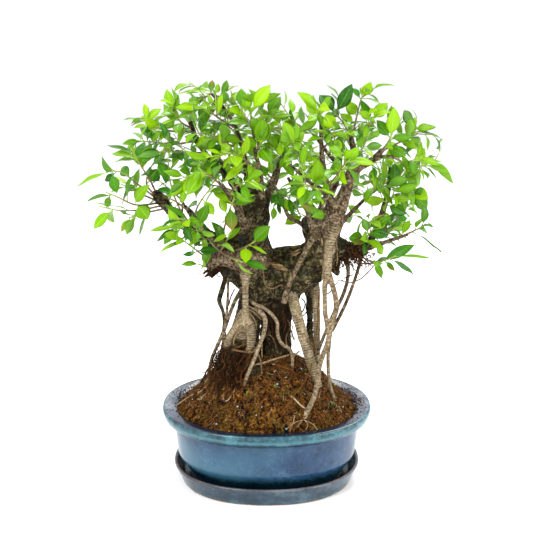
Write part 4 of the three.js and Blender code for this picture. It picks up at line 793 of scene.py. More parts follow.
        "twigs": ["front_limb_3"],
        "shoots": [
            [4, 0.65, [335, 180, -94], [342, 168, -118], [350, 160, -132]],
            [3, 0.6, [328, 193, -72], [312, 186, -98], [302, 184, -112]],
        ],
        "leaves": [],
    },
}

# Fine roots: look, radius in millimetres, then points along them.
FINE_ROOTS_SEEN = {
    "cross_left": ["grey", 1.3, [222, 347, -22], [229, 349.5, -31], [240, 351, -37], [250, 352.6, -40],
        [254.5, 351, -44], [256.8, 346, -44]],
    "cross_down": ["grey", 1, [257, 352.4, -47], [260.5, 358.5, -48], [261.6, 365, -48],
        [261.8, 374, -46]],
    "cross_right": ["tan", 1.3, [255, 365, -50], [262, 363, -46], [270, 360.7, -41], [280, 357.5, -35],
        [290, 354.6, -29]],
    "cross_end": ["tan", 1.2, [291, 358, -30], [295, 355, -30], [300.5, 350.5, -28]],
    "arch": ["tan", 1.2, [247, 331, -28], [242, 331, -30], [238, 333, -29], [235, 338.5, -27],
        [234.2, 344, -26], [236, 349, -27]],
    "rust_left": ["rust", 1.1, [224, 360, -29], [230, 352.5, -31], [237, 348, -33], [243, 345.5, -33],
        [248, 343.5, -31]],
    "over_trunk": ["grey", 1.1, [262.5, 266, -27], [264, 274, -28], [265, 282, -28],
        [267.5, 286.5, -28], [272, 288.3, -28], [277, 287, -28], [281, 285, -28], [285, 287, -27]],
    "long_rust": ["rust", 0.8, [321, 284, -13], [318.8, 300, -13], [318.2, 318, -15], [316.5, 335, -18],
        [314, 352, -25], [311.5, 368, -38], [305, 382, -50], [296, 393, -65], [289, 404, -77],
        [281, 412, -84], [270, 419, -90]],
    "soil_rust_1": ["rust", 1.2, [275.5, 365, -34], [281, 366.5, -37], [288, 368.5, -38],
        [294, 370.5, -39]],
    "soil_rust_2": ["straw", 1.3, [291, 396, -68], [296, 400, -70], [301, 405, -72], [306, 409, -73.5]],
    "right_thin_1": ["grey", 0.9, [352, 283, -1], [358, 280.5, 1], [363, 277.5, 2], [368, 272.5, 2],
        [373, 267, 2], [377.5, 262, 2]],
    "right_thin_2": ["grey", 0.8, [333, 288, -33], [337, 283, -20], [340, 280, -8], [344, 281.5, 0],
        [350, 283, 0], [356, 281, 1]],
    "right_thin_3": ["grey", 0.7, [349, 260, 5], [353, 267, 6], [358, 272.5, 6], [362, 276, 4]],
    "right_thin_4": ["grey", 1.1, [354, 258, 4], [356, 262.5, 5], [363, 263.5, 6], [371, 263.3, 8],
        [378, 263, 10]],
    "gap_root_1": ["dark", 0.9, [322.5, 292, -12], [326, 294, -14], [329.5, 292.5, -18],
        [333, 288.5, -30]],
    "gap_root_2": ["dark", 1, [300.5, 298, 4], [304, 300.5, 4], [305.3, 304, 4], [304, 309, 4],
        [302, 313, 4]],
    "gap_root_3": ["dark", 0.9, [313, 302, 0], [309, 308, 2], [305.5, 313.5, 4], [302, 317.5, 4]],
    "strip_1": ["pale", 1.3, [248, 306, -24], [253, 308.2, -23], [258, 311.5, -24], [263, 317, -33]],
    "strip_2": ["tan", 1.1, [248, 309, -25], [253, 311.5, -24], [258, 315.5, -24], [262, 320, -24]],
    "strip_3": ["pale", 1, [249, 313, -24], [253, 316.5, -23], [256, 322, -22], [257, 329, -22]],
    "cavity_1": ["tan", 1.1, [283, 312, -6], [286, 318, -8], [289, 322, -9], [291, 329, -10],
        [293, 336, -12], [296, 341, -14]],
    "cavity_2": ["tan", 0.9, [291, 326, -10], [288.5, 332, -11], [286.5, 338, -12], [287, 345, -20],
        [289, 351, -34]],
    "cavity_3": ["grey", 0.9, [265, 336, -10], [269, 335, -12], [273, 337.5, -13], [275.5, 343, -14],
        [276.5, 350, -15]],
    "cavity_4": ["dark", 1.2, [268, 326, -6], [271, 331, -8], [274, 333, -9]],
    "cavity_5": ["rust", 0.7, [281, 303, -8], [284, 308, -10], [283, 315, -9], [286, 323, -9],
        [284, 333, -9]],
    "right_root_thin": ["tan", 0.8, [262, 349, -45], [262.5, 341, -43], [262, 352, -44],
        [262.5, 357, -46]],
    "left_back_1": ["dark", 1.2, [220, 270, 16], [224, 274.5, 12], [228, 279.5, 8]],
    "left_back_2": ["dark", 1.2, [224, 268, 14], [226.5, 273, 11], [229, 278, 8]],
    "left_back_3": ["dark", 1, [235.5, 288, 6], [233, 293, 5], [230.5, 299, 4], [229, 306, 3]],
    "shoulder_root": ["grey", 1.6, [309, 225, 4], [312, 230, -8], [313.5, 235, -17], [312.5, 240, -27]],
    "knob_root_1": ["pale", 1.4, [322, 238, -26], [323.5, 250, -26], [323, 262, -26], [324, 272, -28],
        [322, 280, -26]],
    "knob_root_2": ["tan", 1.2, [336, 240, -24], [337, 250, -20], [338, 258, -16], [336.5, 266, -12]],
    "front_foot_1": ["straw", 0.5, [303.5, 420, -80], [298, 421.5, -84], [292, 425, -89],
        [287, 429, -93]],
    "front_foot_2": ["straw", 0.5, [304, 420, -80], [309, 422, -81], [314, 425, -82],
        [317.5, 429.5, -85], [318.5, 436.5, -118]],
    "front_foot_3": ["straw", 0.45, [304, 419, -79.5], [300, 424, -86], [297, 427.5, -90]],
    "front_foot_4": ["straw", 0.45, [304.5, 419, -79.5], [308, 425.5, -84.5], [306, 430, -89]],
    "left_end_1": ["dark", 1.2, [208.5, 368, -13], [206, 373, -10], [203, 379, -3], [201, 384, 8]],
    "left_end_2": ["dark", 1.1, [209, 367, -14], [210.5, 373, -15], [211, 380, -18],
        [209.5, 387, -27.5]],
    "left_end_3": ["rust", 1, [212, 357, -20], [214, 364, -25], [216.5, 371, -34], [218, 379, -39]],
    "soil_left_1": ["dark", 1.5, [218, 383, -40], [218.5, 391, -50], [217.5, 400, -59],
        [218.5, 408, -68]],
    "soil_left_2": ["straw", 0.9, [176, 406, -8], [183, 401, -2], [189, 397, -4], [194, 394, -10]],
}

KINDS = ("dark", "grey", "pale", "tan", "dead")


# ---- the photograph's view ----

def view_axes():
    """The ways forward and up of the camera, and its place, in millimetres."""
    tilt = math.radians(VIEW_TILT)
    forward = np.array([0.0, math.cos(tilt), -math.sin(tilt)])
    upward = np.array([0.0, math.sin(tilt), math.cos(tilt)])
    rise = (VIEW_AIM_DOWN - VIEW_CENTRE_DOWN) / VIEW_FOCUS * VIEW_DISTANCE
    eye = np.array([0.0, 0.0, VIEW_AIM_HEIGHT]) - forward * VIEW_DISTANCE + upward * rise
    return forward, upward, eye


def from_view(spot, decimals=0):
    """The place in millimetres that is seen at a pixel and has the depth, rounded across and up."""
    across, down, depth = spot
    forward, upward, eye = view_axes()
    ray = forward + upward * (VIEW_CENTRE_DOWN - down) / VIEW_FOCUS
    ray[0] = (across - VIEW_CENTRE_ACROSS) / VIEW_FOCUS
    place = eye + ray * (depth - eye[1]) / ray[1]
    step = 10.0 ** decimals
    return [math.floor(place[0] * step + 0.5) / step, depth, math.floor(place[2] * step + 0.5) / step]


def place_limb(row):
    kind, *points = row
    return [kind, *([*from_view(point[:3]), point[3]] for point in points)]


def place_branch(branch):
    shoots = [[count, tone, *map(from_view, spots)] for count, tone, *spots in branch["shoots"]]
    leaves = [[from_view(foot), from_view(tip), *rest] for foot, tip, *rest in branch["leaves"]]
    return {"twigs": branch["twigs"], "shoots": shoots, "leaves": leaves}


WOOD = {name: place_limb(row) for name, row in WOOD_SEEN.items()}
TWIGS = {name: place_limb(row) for name, row in TWIGS_SEEN.items()}
BRANCHES = {name: place_branch(branch) for name, branch in BRANCHES_SEEN.items()}


# ---- random numbers, noise and curves ----

class Stream:
    """Numbers from 0 to 1 that the seed fixes."""

    def __init__(self, seed):
        self.state = seed & 0xFFFFFFFF

    def __call__(self):
        self.state = (self.state + 0x6D2B79F5) & 0xFFFFFFFF
        mixed = self.state
        mixed = ((mixed ^ (mixed >> 15)) * (mixed | 1)) & 0xFFFFFFFF
        again = ((mixed ^ (mixed >> 7)) * (mixed | 61)) & 0xFFFFFFFF
        mixed ^= (mixed + again) & 0xFFFFFFFF
        return ((mixed ^ (mixed >> 14)) & 0xFFFFFFFF) / 4294967296


def lattice(ix, iy, iz, seed):
    """A number from 0 to 1 for each whole place of a grid."""
    h = (ix * 374761393 + iy * 668265263 + iz * 1274126177 + seed * 974634777) & 0xFFFFFFFF
    h = ((h ^ (h >> 13)) * 1103515245) & 0xFFFFFFFF
    h = ((h ^ (h >> 15)) * 2246822519) & 0xFFFFFFFF
    return ((h ^ (h >> 16)) & 0xFFFFFF) / 16777216.0


def noise(points, size, seed=0):
    """Smooth noise from -1 to 1 at points in millimetres, with lumps of the given size."""
    p = np.asarray(points, float) / size + 500.0
    whole = np.floor(p).astype(np.int64)
    part = p - whole
    part = part * part * (3 - 2 * part)
    total = np.zeros(len(p))
    for dx in (0, 1):
        wx = part[:, 0] if dx else 1 - part[:, 0]
        for dy in (0, 1):
            wy = part[:, 1] if dy else 1 - part[:, 1]
            for dz in (0, 1):
                wz = part[:, 2] if dz else 1 - part[:, 2]
                total += wx * wy * wz * lattice(whole[:, 0] + dx, whole[:, 1] + dy, whole[:, 2] + dz, seed)
    return 2 * total - 1


def smooth_step(low, high, value):
    share = np.clip((value - low) / (high - low), 0, 1)
    return share * share * (3 - 2 * share)


def unit(vectors):
    vectors = np.asarray(vectors, float)
    return vectors / np.maximum(np.linalg.norm(vectors, axis=-1, keepdims=True), 1e-12)


class Path:
    """The smooth centripetal curve through the points. share runs from 0 to 1, evenly over the points."""

    def __init__(self, points):
        self.points = np.asarray(points, float)[:, :3]
        first, last = 2 * self.points[0] - self.points[1], 2 * self.points[-1] - self.points[-2]
        self.padded = np.vstack([first, self.points, last])

    def at(self, shares):
        shares = np.atleast_1d(np.asarray(shares, float))
        count = len(self.points)
        place = (count - 1) * shares
        index = np.minimum(np.floor(place).astype(int), count - 2)
        w = (place - index)[:, None]
        p0, p1, p2, p3 = (self.padded[index + k] for k in range(4))
        d0 = (((p0 - p1) ** 2).sum(1) ** 0.25)[:, None]
        d1 = (((p1 - p2) ** 2).sum(1) ** 0.25)[:, None]
        d2 = (((p2 - p3) ** 2).sum(1) ** 0.25)[:, None]
        t1 = ((p1 - p0) / d0 - (p2 - p0) / (d0 + d1) + (p2 - p1) / d1) * d1
        t2 = ((p2 - p1) / d1 - (p3 - p1) / (d1 + d2) + (p3 - p2) / d2) * d1
        c2 = -3 * p1 + 3 * p2 - 2 * t1 - t2
        c3 = 2 * p1 - 2 * p2 + t1 + t2
        return p1 + t1 * w + c2 * w**2 + c3 * w**3

    def along(self, shares):
        shares = np.atleast_1d(np.asarray(shares, float))
        return unit(self.at(np.minimum(shares + 1e-4, 1)) - self.at(np.maximum(shares - 1e-4, 0)))

    def length(self):
        spots = self.at(np.linspace(0, 1, 201))
        return float(np.linalg.norm(np.diff(spots, axis=0), axis=1).sum())


def radii_at(points, shares):
    radii = [point[3] for point in points]
    return np.interp(np.asarray(shares) * (len(points) - 1), range(len(points)), radii)


# ---- meshes ----

def make_piece(name, points, faces, material, attributes=None, uv=None, smooth=True):
    """A piece from points in millimetres. uv and the attributes have a value for each point."""
    mesh = bpy.data.meshes.new(name)
    mesh.from_pydata((np.asarray(points) * MM).tolist(), [], faces)
    mesh.update()
    add_values(mesh, attributes or {})
    if uv is not None:
        layer = mesh.uv_layers.new(name="UVMap")
        corners = np.empty(len(mesh.loops), np.int32)
        mesh.loops.foreach_get("vertex_index", corners)
        layer.data.foreach_set("uv", np.asarray(uv, np.float32)[corners].ravel())
    return finish_piece(name, mesh, material, smooth)


def add_values(mesh, attributes):
    for key, values in attributes.items():
        layer = mesh.attributes.new(key, "FLOAT", "POINT")
        layer.data.foreach_set("value", np.asarray(values, np.float32))


def finish_piece(name, mesh, material, smooth=True):
    mesh.polygons.foreach_set("use_smooth", np.full(len(mesh.polygons), smooth))
    mesh.materials.clear()
    mesh.materials.append(material)
    piece = bpy.data.objects.new(name, mesh)
    bpy.context.scene.collection.objects.link(piece)
    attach(piece, ROOT)
    return piece


class Build:
    """Collects parts of one mesh, with attributes for each point. Faces come as arrays, one for each
    face size."""

    def __init__(self, *keys):
        self.points, self.faces, self.uv = [], [], []
        self.values = {key: [] for key in keys}
        self.count = 0

    def add(self, points, faces, uv=None, **values):
        self.points.append(np.asarray(points, float))
        for block in faces:
            self.faces.extend((np.asarray(block) + self.count).tolist())
        size = len(points)
        self.uv.append(np.zeros((size, 2)) if uv is None else np.asarray(uv, float))
        for key, rows in self.values.items():
            rows.append(np.broadcast_to(np.asarray(values.get(key, 0.0), float), (size,)))
        self.count += size

    def piece(self, name, material, slot, smooth=True):
        values = {key: np.concatenate(rows) for key, rows in self.values.items()}
        uv = np.vstack(self.uv)
        return make_piece(name, np.vstack(self.points), self.faces, material, values, uv, smooth)


def ring_faces(rings, sides):
    """Quads between rings of points that follow each other."""
    near = np.arange(sides)
    following = (near + 1) % sides
    low = (np.arange(rings - 1) * sides)[:, None]
    quads = np.stack([low + near, low + following, low + sides + following, low + sides + near], 2)
    return quads.reshape(-1, 4)


def closed_faces(rings, sides):
    """Quads between rings of points, and fans to the two points after them, which close the ends."""
    count = rings * sides
    near = np.arange(sides)
    following = (near + 1) % sides
    low = np.stack([np.full(sides, count), following, near], 1)
    high = np.stack([np.full(sides, count + 1), count - sides + near, count - sides + following], 1)
    return ring_faces(rings, sides), np.vstack([low, high])


def tube(points, sides, spacing, swell=None):
    """A closed tube along the smooth curve through points that end in a radius. swell changes the
    radius by the places. Returns points, faces, the distance along, the radius and the middle of
    each point."""
    path = Path(points)
    length = path.length()
    steps = max(3, int(math.ceil(length / spacing)))
    shares = np.linspace(0, 1, steps + 1)
    centres, tangents = path.at(shares), path.along(shares)
    radii = radii_at(points, shares)
    side = np.array([1.0, 0, 0])
    sides_at = []
    for tangent in tangents:
        if abs(tangent @ side) > 0.95:
            side = np.array([0, 1.0, 0])
        side = unit(side - tangent * (side @ tangent))
        sides_at.append(side)
    sides_at = np.array(sides_at)
    across_at = np.cross(tangents, sides_at)
    angles = np.arange(sides) * 2 * math.pi / sides
    ring = (np.cos(angles)[None, :, None] * sides_at[:, None]
            + np.sin(angles)[None, :, None] * across_at[:, None])
    distance = np.repeat(shares * length, sides)
    centre = np.repeat(centres, sides, axis=0)
    radius = np.repeat(radii, sides)
    outward = ring.reshape(-1, 3)
    spots = centre + outward * radius[:, None]
    if swell is not None:
        spots = centre + outward * swell(spots, radius)[:, None]
    tips = np.array([centres[0] - tangents[0] * radii[0] * TUBE_END_SHARE,
                     centres[-1] + tangents[-1] * radii[-1] * TUBE_END_SHARE])
    faces = closed_faces(steps + 1, sides)
    return (np.vstack([spots, tips]), faces, np.concatenate([distance, [0.0, length]]),
            np.concatenate([radius, radii[[0, -1]]]), np.vstack([centre, centres[[0, -1]]]))


def strands(lines, radii, sides):
    """Many thin tubes: lines holds curves of the same number of places, radii a radius for each place."""
    lines = np.asarray(lines, float)
    count, places = lines.shape[:2]
    tangents = unit(np.gradient(lines, axis=1))
    across = unit(np.cross(tangents, [0.31, 0.22, 0.93]))
    over = np.cross(tangents, across)
    angles = np.arange(sides) * 2 * math.pi / sides
    ring = np.cos(angles)[:, None] * across[:, :, None] + np.sin(angles)[:, None] * over[:, :, None]
    spots = lines[:, :, None] + ring * np.asarray(radii)[:, :, None, None]
    start = (np.arange(count) * places * sides)[:, None, None]
    quads = (ring_faces(places, sides)[None] + start).reshape(-1, 4)
    caps = np.stack([np.arange(sides)[::-1], (places - 1) * sides + np.arange(sides)])
    return spots.reshape(-1, 3), (quads, (caps[None] + start).reshape(-1, sides))


def wander(starts, ends, chance, places, sway):
    """Lines from starts to ends that sway on the way."""
    shares = np.linspace(0, 1, places)[None, :, None]
    lines = starts[:, None] * (1 - shares) + ends[:, None] * shares
    for waves in (1, 2, 3):
        turn = chance.uniform(0, 2 * math.pi, (len(starts), 1, 3))
        size = chance.normal(0, sway / waves, (len(starts), 1, 3))
        lines = lines + size * np.sin(math.pi * waves * shares + turn) * np.sin(math.pi * shares) ** 0.5
    return lines


# A body of twenty triangles, whose corners lie on three crossed rectangles.
LUMP_CORNERS = np.array([
    [-0.53, 0.85, 0], [0.53, 0.85, 0], [-0.53, -0.85, 0], [0.53, -0.85, 0],
    [0, -0.53, 0.85], [0, 0.53, 0.85], [0, -0.53, -0.85], [0, 0.53, -0.85],
    [0.85, 0, -0.53], [0.85, 0, 0.53], [-0.85, 0, -0.53], [-0.85, 0, 0.53],
])
LUMP_FACES = np.array([
    [0, 11, 5], [0, 5, 1], [0, 1, 7], [0, 7, 10], [0, 10, 11], [1, 5, 9], [5, 11, 4], [11, 10, 2],
    [10, 7, 6], [7, 1, 8], [3, 9, 4], [3, 4, 2], [3, 2, 6], [3, 6, 8], [3, 8, 9], [4, 9, 5],
    [2, 4, 11], [6, 2, 10], [8, 6, 7], [9, 8, 1],
])


def small_lumps(centres, sizes, chance, flatness=1.0):
    """Many rough crumbs. sizes holds half lengths along three axes of its own for each crumb."""
    count = len(centres)
    spots = LUMP_CORNERS[None] * chance.uniform(0.7, 1.15, (count, len(LUMP_CORNERS), 1))
    spots = spots * np.asarray(sizes)[:, None]
    turn, tilt = chance.uniform(0, 2 * math.pi, count), chance.normal(0, 0.5, count) * flatness
    x = spots[..., 0] * np.cos(tilt)[:, None] - spots[..., 2] * np.sin(tilt)[:, None]
    z = spots[..., 0] * np.sin(tilt)[:, None] + spots[..., 2] * np.cos(tilt)[:, None]
    y = spots[..., 1]
    c, s = np.cos(turn)[:, None], np.sin(turn)[:, None]
    spots = np.stack([x * c - y * s, x * s + y * c, z], 2) + np.asarray(centres)[:, None]
    faces = LUMP_FACES[None] + (np.arange(count) * len(LUMP_CORNERS))[:, None, None]
    return spots.reshape(-1, 3), (faces.reshape(-1, 3),)


def add_strands(build, chance, lines, radii, sides, tones):
    """Adds fibres or splinters, each with a tone of its own."""
    points, faces = strands(lines, radii, sides)
    count = len(lines)
    build.add(points, faces, tone=np.repeat(chance.uniform(*tones, count), len(points) // count))


def add_lumps(build, chance, centres, sizes, tones, flatness=1.0):
    """Adds crumbs, each with a tone of its own."""
    points, faces = small_lumps(centres, sizes, chance, flatness)
    tone = np.repeat(chance.uniform(*tones, len(centres)), len(LUMP_CORNERS))
    build.add(points, faces, tone=tone)


# ---- materials ----

class Shader:
    """A material's node tree, written from the Principled shader outwards."""

    def __init__(self, name, **sockets):
        self.material = bpy.data.materials.new(name)
        self.material.use_nodes = True
        self.tree = self.material.node_tree
        self.shader = next(n for n in self.tree.nodes if n.type == "BSDF_PRINCIPLED")
        self.output = next(n for n in self.tree.nodes if n.type == "OUTPUT_MATERIAL")
        for socket, value in sockets.items():
            self.shader.inputs[socket.replace("_", " ")].default_value = value

    def node(self, kind, inputs=None, **settings):
        node = self.tree.nodes.new(kind)
        for key, value in settings.items():
            setattr(node, key, value)
        for key, value in (inputs or {}).items():
            self.feed(node.inputs[key], value)
        return node

    def feed(self, socket, value):
        if hasattr(value, "links"):
            self.tree.links.new(value, socket)
        elif isinstance(value, bpy.types.Node):
            self.tree.links.new(value.outputs[0], socket)
        else:
            socket.default_value = (*value, 1.0) if socket.type == "RGBA" and len(value) == 3 else value

    def place(self):
        return self.node("ShaderNodeTexCoord").outputs["Object"]

    def stretched(self, scale):
        return self.node("ShaderNodeMapping", {"Vector": self.place(), "Scale": scale}).outputs[0]

    def noise(self, scale, detail=3.0, rough=0.55, vector=None, distortion=0.0):
        inputs = {"Vector": vector or self.place(), "Scale": scale, "Detail": detail, "Roughness": rough,
                  "Distortion": distortion}
        return self.node("ShaderNodeTexNoise", inputs).outputs["Fac"]

    def cells(self, scale):
        inputs = {"Vector": self.place(), "Scale": scale}
        return self.node("ShaderNodeTexVoronoi", inputs).outputs["Distance"]

    def value(self, name):
        return self.node("ShaderNodeAttribute", attribute_name=name).outputs["Fac"]

    def span(self, value, low, high, to_low=0.0, to_high=1.0):
        inputs = {"Value": value, "From Min": low, "From Max": high, "To Min": to_low, "To Max": to_high}
        return self.node("ShaderNodeMapRange", inputs).outputs[0]

    def maths(self, operation, first, second=0.0):
        return self.node("ShaderNodeMath", {0: first, 1: second}, operation=operation).outputs[0]

    def times(self, first, second):
        return self.maths("MULTIPLY", first, second)

    def plus(self, first, second):
        return self.maths("ADD", first, second)

    def mix(self, share, first, second, blend="MIX"):
        node = self.tree.nodes.new("ShaderNodeMix")
        node.data_type = "RGBA"
        node.blend_type = blend
        self.feed(node.inputs[0], share)
        self.feed(node.inputs[6], first)
        self.feed(node.inputs[7], second)
        return node.outputs[2]

    def ramp(self, value, *stops):
        node = self.node("ShaderNodeValToRGB", {"Fac": value})
        ramp = node.color_ramp
        while len(ramp.elements) < len(stops):
            ramp.elements.new(0.5)
        for element, (position, colour) in zip(ramp.elements, stops):
            element.position = position
            element.color = (*colour, 1.0)
        return node.outputs[0]

    def bump(self, height, strength, distance):
        inputs = {"Height": height, "Strength": strength, "Distance": distance}
        bump = self.node("ShaderNodeBump", inputs)
        self.feed(self.shader.inputs["Normal"], bump.outputs[0])
        return bump.outputs[0]

    def set(self, socket, value):
        self.feed(self.shader.inputs[socket], value)


def bark_material():
    """Dark fissured bark, paler bark of roots and limbs, and torn wood, mixed by each point's values.
    Cracks and painted shade take a near-black colour.
    """
    look = Shader("bark", Roughness=0.88, Specular_IOR_Level=0.1)
    pale, grey, dead = look.value("pale"), look.value("grey"), look.value("dead")
    crack, tint, moss = look.value("crack"), look.value("tint"), look.value("moss")
    broad = look.noise(85.0, 4.0)
    fine = look.noise(290.0, 4.0, 0.66)
    grain = look.noise(600.0, 2.0, 0.6)
    blotch = look.plus(look.times(broad, 0.3), look.times(fine, 0.7))
    dark = look.ramp(blotch, (0.42, (0.003, 0.002, 0.001)), (0.49, (0.014, 0.010, 0.005)),
                     (0.545, (0.055, 0.042, 0.019)), (0.61, (0.19, 0.145, 0.072)))
    dark = look.mix(look.times(tint, 0.6), dark, (0.26, 0.19, 0.09))
    lichen = look.span(look.noise(48.0, 3.0), 0.54, 0.63)
    dark = look.mix(look.times(lichen, 0.5), dark, (0.020, 0.032, 0.029))
    grey_bark = look.ramp(blotch, (0.40, (0.030, 0.017, 0.009)), (0.475, (0.105, 0.070, 0.041)),
                          (0.54, (0.205, 0.148, 0.092)), (0.61, (0.40, 0.31, 0.21)))
    pale_bark = look.ramp(blotch, (0.36, (0.105, 0.072, 0.036)), (0.46, (0.225, 0.168, 0.100)),
                          (0.55, (0.330, 0.258, 0.162)), (0.65, (0.50, 0.415, 0.285)))
    olive = look.span(look.noise(70.0, 4.0), 0.5, 0.66)
    pale_bark = look.mix(look.times(olive, 0.55), pale_bark, (0.17, 0.145, 0.062))
    dead_wood = look.ramp(blotch, (0.4, (0.05, 0.027, 0.012)), (0.5, (0.22, 0.14, 0.07)),
                          (0.6, (0.46, 0.34, 0.19)))
    colour = look.mix(grey, dark, grey_bark)
    colour = look.mix(pale, colour, pale_bark)
    colour = look.mix(dead, colour, dead_wood)
    speck = look.span(grain, 0.62, 0.68)
    colour = look.mix(look.times(speck, 0.5), colour, (0.34, 0.26, 0.15))
    # Near black for cracks, and painted shade in sunken places, in the hollow between the trunks and on the
    # root ball.
    colour = look.mix(crack, colour, (0.014, 0.008, 0.004))
    mossy = look.times(moss, look.span(look.noise(120.0, 4.0), 0.47, 0.62))
    colour = look.mix(look.times(mossy, 0.7), colour, (0.075, 0.085, 0.016))
    look.set("Base Color", colour)
    look.bump(look.plus(fine, look.times(grain, 0.6)), 0.75, 0.0012)
    return look.material


def leaf_material():
    look = Shader("leaf", Roughness=0.27, Specular_IOR_Level=0.3)
    young, shade = look.value("young"), look.value("shade")
    uv = look.node("ShaderNodeSeparateXYZ", {0: look.node("ShaderNodeTexCoord").outputs["UV"]})
    along, across = uv.outputs[0], uv.outputs[1]
    side = look.maths("ABSOLUTE", across)
    slant = look.maths("SUBTRACT", look.times(along, 11.0), look.times(side, 3.2))
    wave = look.maths("ABSOLUTE", look.maths("SUBTRACT", look.maths("FRACT", slant), 0.5))
    veins = look.times(look.span(wave, 0.44, 0.5), look.span(side, 0.98, 0.8))
    rib = look.span(side, 0.085, 0.03)
    old = look.mix(shade, (0.001, 0.045, 0.002), (0.018, 0.205, 0.0))
    fresh = look.mix(shade, (0.185, 0.430, 0.0), (0.42, 0.66, 0.0))
    colour = look.mix(young, old, fresh)
    mottle = look.noise(300.0, 3.0)
    colour = look.mix(look.span(mottle, 0.3, 0.8, 0.0, 0.3), colour, (0.14, 0.42, 0.002))
    light_green = look.mix(young, (0.16, 0.40, 0.03), (0.50, 0.74, 0.06))
    colour = look.mix(look.times(veins, 0.22), colour, light_green)
    colour = look.mix(look.times(rib, 0.6), colour, light_green)
    colour = look.mix(look.value("back"), colour, look.mix(0.5, colour, (0.26, 0.50, 0.09)))
    colour = look.mix(look.value("dry"), colour, (0.34, 0.17, 0.03))
    look.set("Base Color", colour)
    height = look.plus(rib, look.times(veins, 0.45))
    normal = look.bump(height, 0.35, 0.0006)
    through = look.node("ShaderNodeBsdfTranslucent")
    look.feed(through.inputs["Color"], look.mix(young, (0.10, 0.52, 0.0), (0.62, 0.88, 0.0)))
    look.feed(through.inputs["Normal"], normal)
    both = look.node("ShaderNodeMixShader", {0: 0.3, 1: look.shader.outputs[0], 2: through.outputs[0]})
    look.tree.links.new(both.outputs[0], look.output.inputs[0])
    return look.material


def shoot_material():
    look = Shader("shoot", Roughness=0.5)
    green = look.value("young")
    speckle = look.noise(700.0, 4.0)
    woody = look.ramp(speckle, (0.38, (0.055, 0.022, 0.011)), (0.5, (0.15, 0.078, 0.038)),
                      (0.62, (0.33, 0.22, 0.125)))
    fresh = look.ramp(speckle, (0.3, (0.22, 0.33, 0.03)), (0.7, (0.42, 0.52, 0.09)))
    look.set("Base Color", look.mix(green, woody, fresh))
    look.bump(speckle, 0.4, 0.0004)
    return look.material


def litter_material():
    """Roots, fibres and crumbs: tone runs from wet dark through rust to straw and pale bark."""
    look = Shader("litter", Roughness=0.85, Specular_IOR_Level=0.12)
    tone = look.plus(look.value("tone"), look.span(look.noise(260.0, 4.0), 0.25, 0.75, -0.09, 0.09))
    colour = look.ramp(tone, (0.0, (0.006, 0.003, 0.001)), (0.2, (0.032, 0.013, 0.004)),
                       (0.4, (0.14, 0.047, 0.007)), (0.6, (0.165, 0.105, 0.052)),
                       (0.8, (0.33, 0.235, 0.125)), (1.0, (0.60, 0.51, 0.38)))
    colour = look.mix(look.times(look.value("ring"), 0.6), colour, (0.03, 0.016, 0.008))
    look.set("Base Color", colour)
    look.bump(look.noise(1300.0, 4.0), 0.5, 0.0006)
    return look.material


# The glaze of the walls: places in the mottling, from dark to light, with the colour there.
POT_GLAZE = ((0.34, (0.003, 0.020, 0.052)), (0.46, (0.010, 0.040, 0.098)),
             (0.55, (0.018, 0.060, 0.130)), (0.68, (0.052, 0.112, 0.185)))
TRAY_GLAZE = ((0.36, (0.002, 0.012, 0.027)), (0.46, (0.007, 0.028, 0.050)),
              (0.55, (0.020, 0.048, 0.076)), (0.66, (0.060, 0.104, 0.138)))


def glaze_material(name, wall_colours):
    """Run glaze: mottled blues that break to brown and pale green where it is thin, with painted shade and
    a painted lighter side laid over them by the piece's values.
    """
    look = Shader(name, Roughness=0.2, Specular_IOR_Level=0.35, Coat_Weight=0.15, Coat_Roughness=0.06)
    drips = look.noise(26.0, 3.0, 0.5, look.stretched((1.0, 1.0, 0.8)), 0.4)
    mottle = look.noise(170.0, 4.0, 0.6)
    speck = look.cells(560.0)
    blend = look.plus(look.times(drips, 0.6), look.times(mottle, 0.4))
    body = look.ramp(blend, *wall_colours)
    # Clouds in the glaze, and painted light on the pot's lower left.
    colour = look.mix(look.value("cloud"), body, (0.055, 0.165, 0.225))
    colour = look.mix(look.span(speck, 0.2, 0.08, 0.0, 0.3), colour, (0.16, 0.26, 0.34))
    rim, teal, bare = look.value("rim"), look.value("teal"), look.value("bare")
    pale_rim = look.ramp(blend, (0.38, (0.030, 0.042, 0.064)), (0.5, (0.10, 0.122, 0.155)),
                         (0.6, (0.22, 0.235, 0.27)))
    colour = look.mix(rim, colour, pale_rim)
    dark_teal = look.ramp(blend, (0.39, (0.001, 0.028, 0.042)), (0.5, (0.014, 0.088, 0.118)),
                          (0.6, (0.062, 0.190, 0.220)))
    colour = look.mix(teal, colour, dark_teal)
    # Near-black painted shade inside the tray, under the pot's lip and on the pot's low wall, and a darker
    # rim top towards the front and back.
    colour = look.mix(look.value("deep"), colour, (0.0, 0.006, 0.018))
    colour = look.mix(look.value("green"), colour, (0.065, 0.185, 0.215))
    clay = look.ramp(mottle, (0.3, (0.11, 0.045, 0.018)), (0.7, (0.27, 0.13, 0.055)))
    colour = look.mix(bare, colour, clay)
    look.set("Base Color", colour)
    look.set("Roughness", look.span(bare, 0.0, 1.0, 0.2, 0.75))
    look.bump(look.plus(drips, look.times(mottle, 0.5)), 0.22, 0.0016)
    return look.material


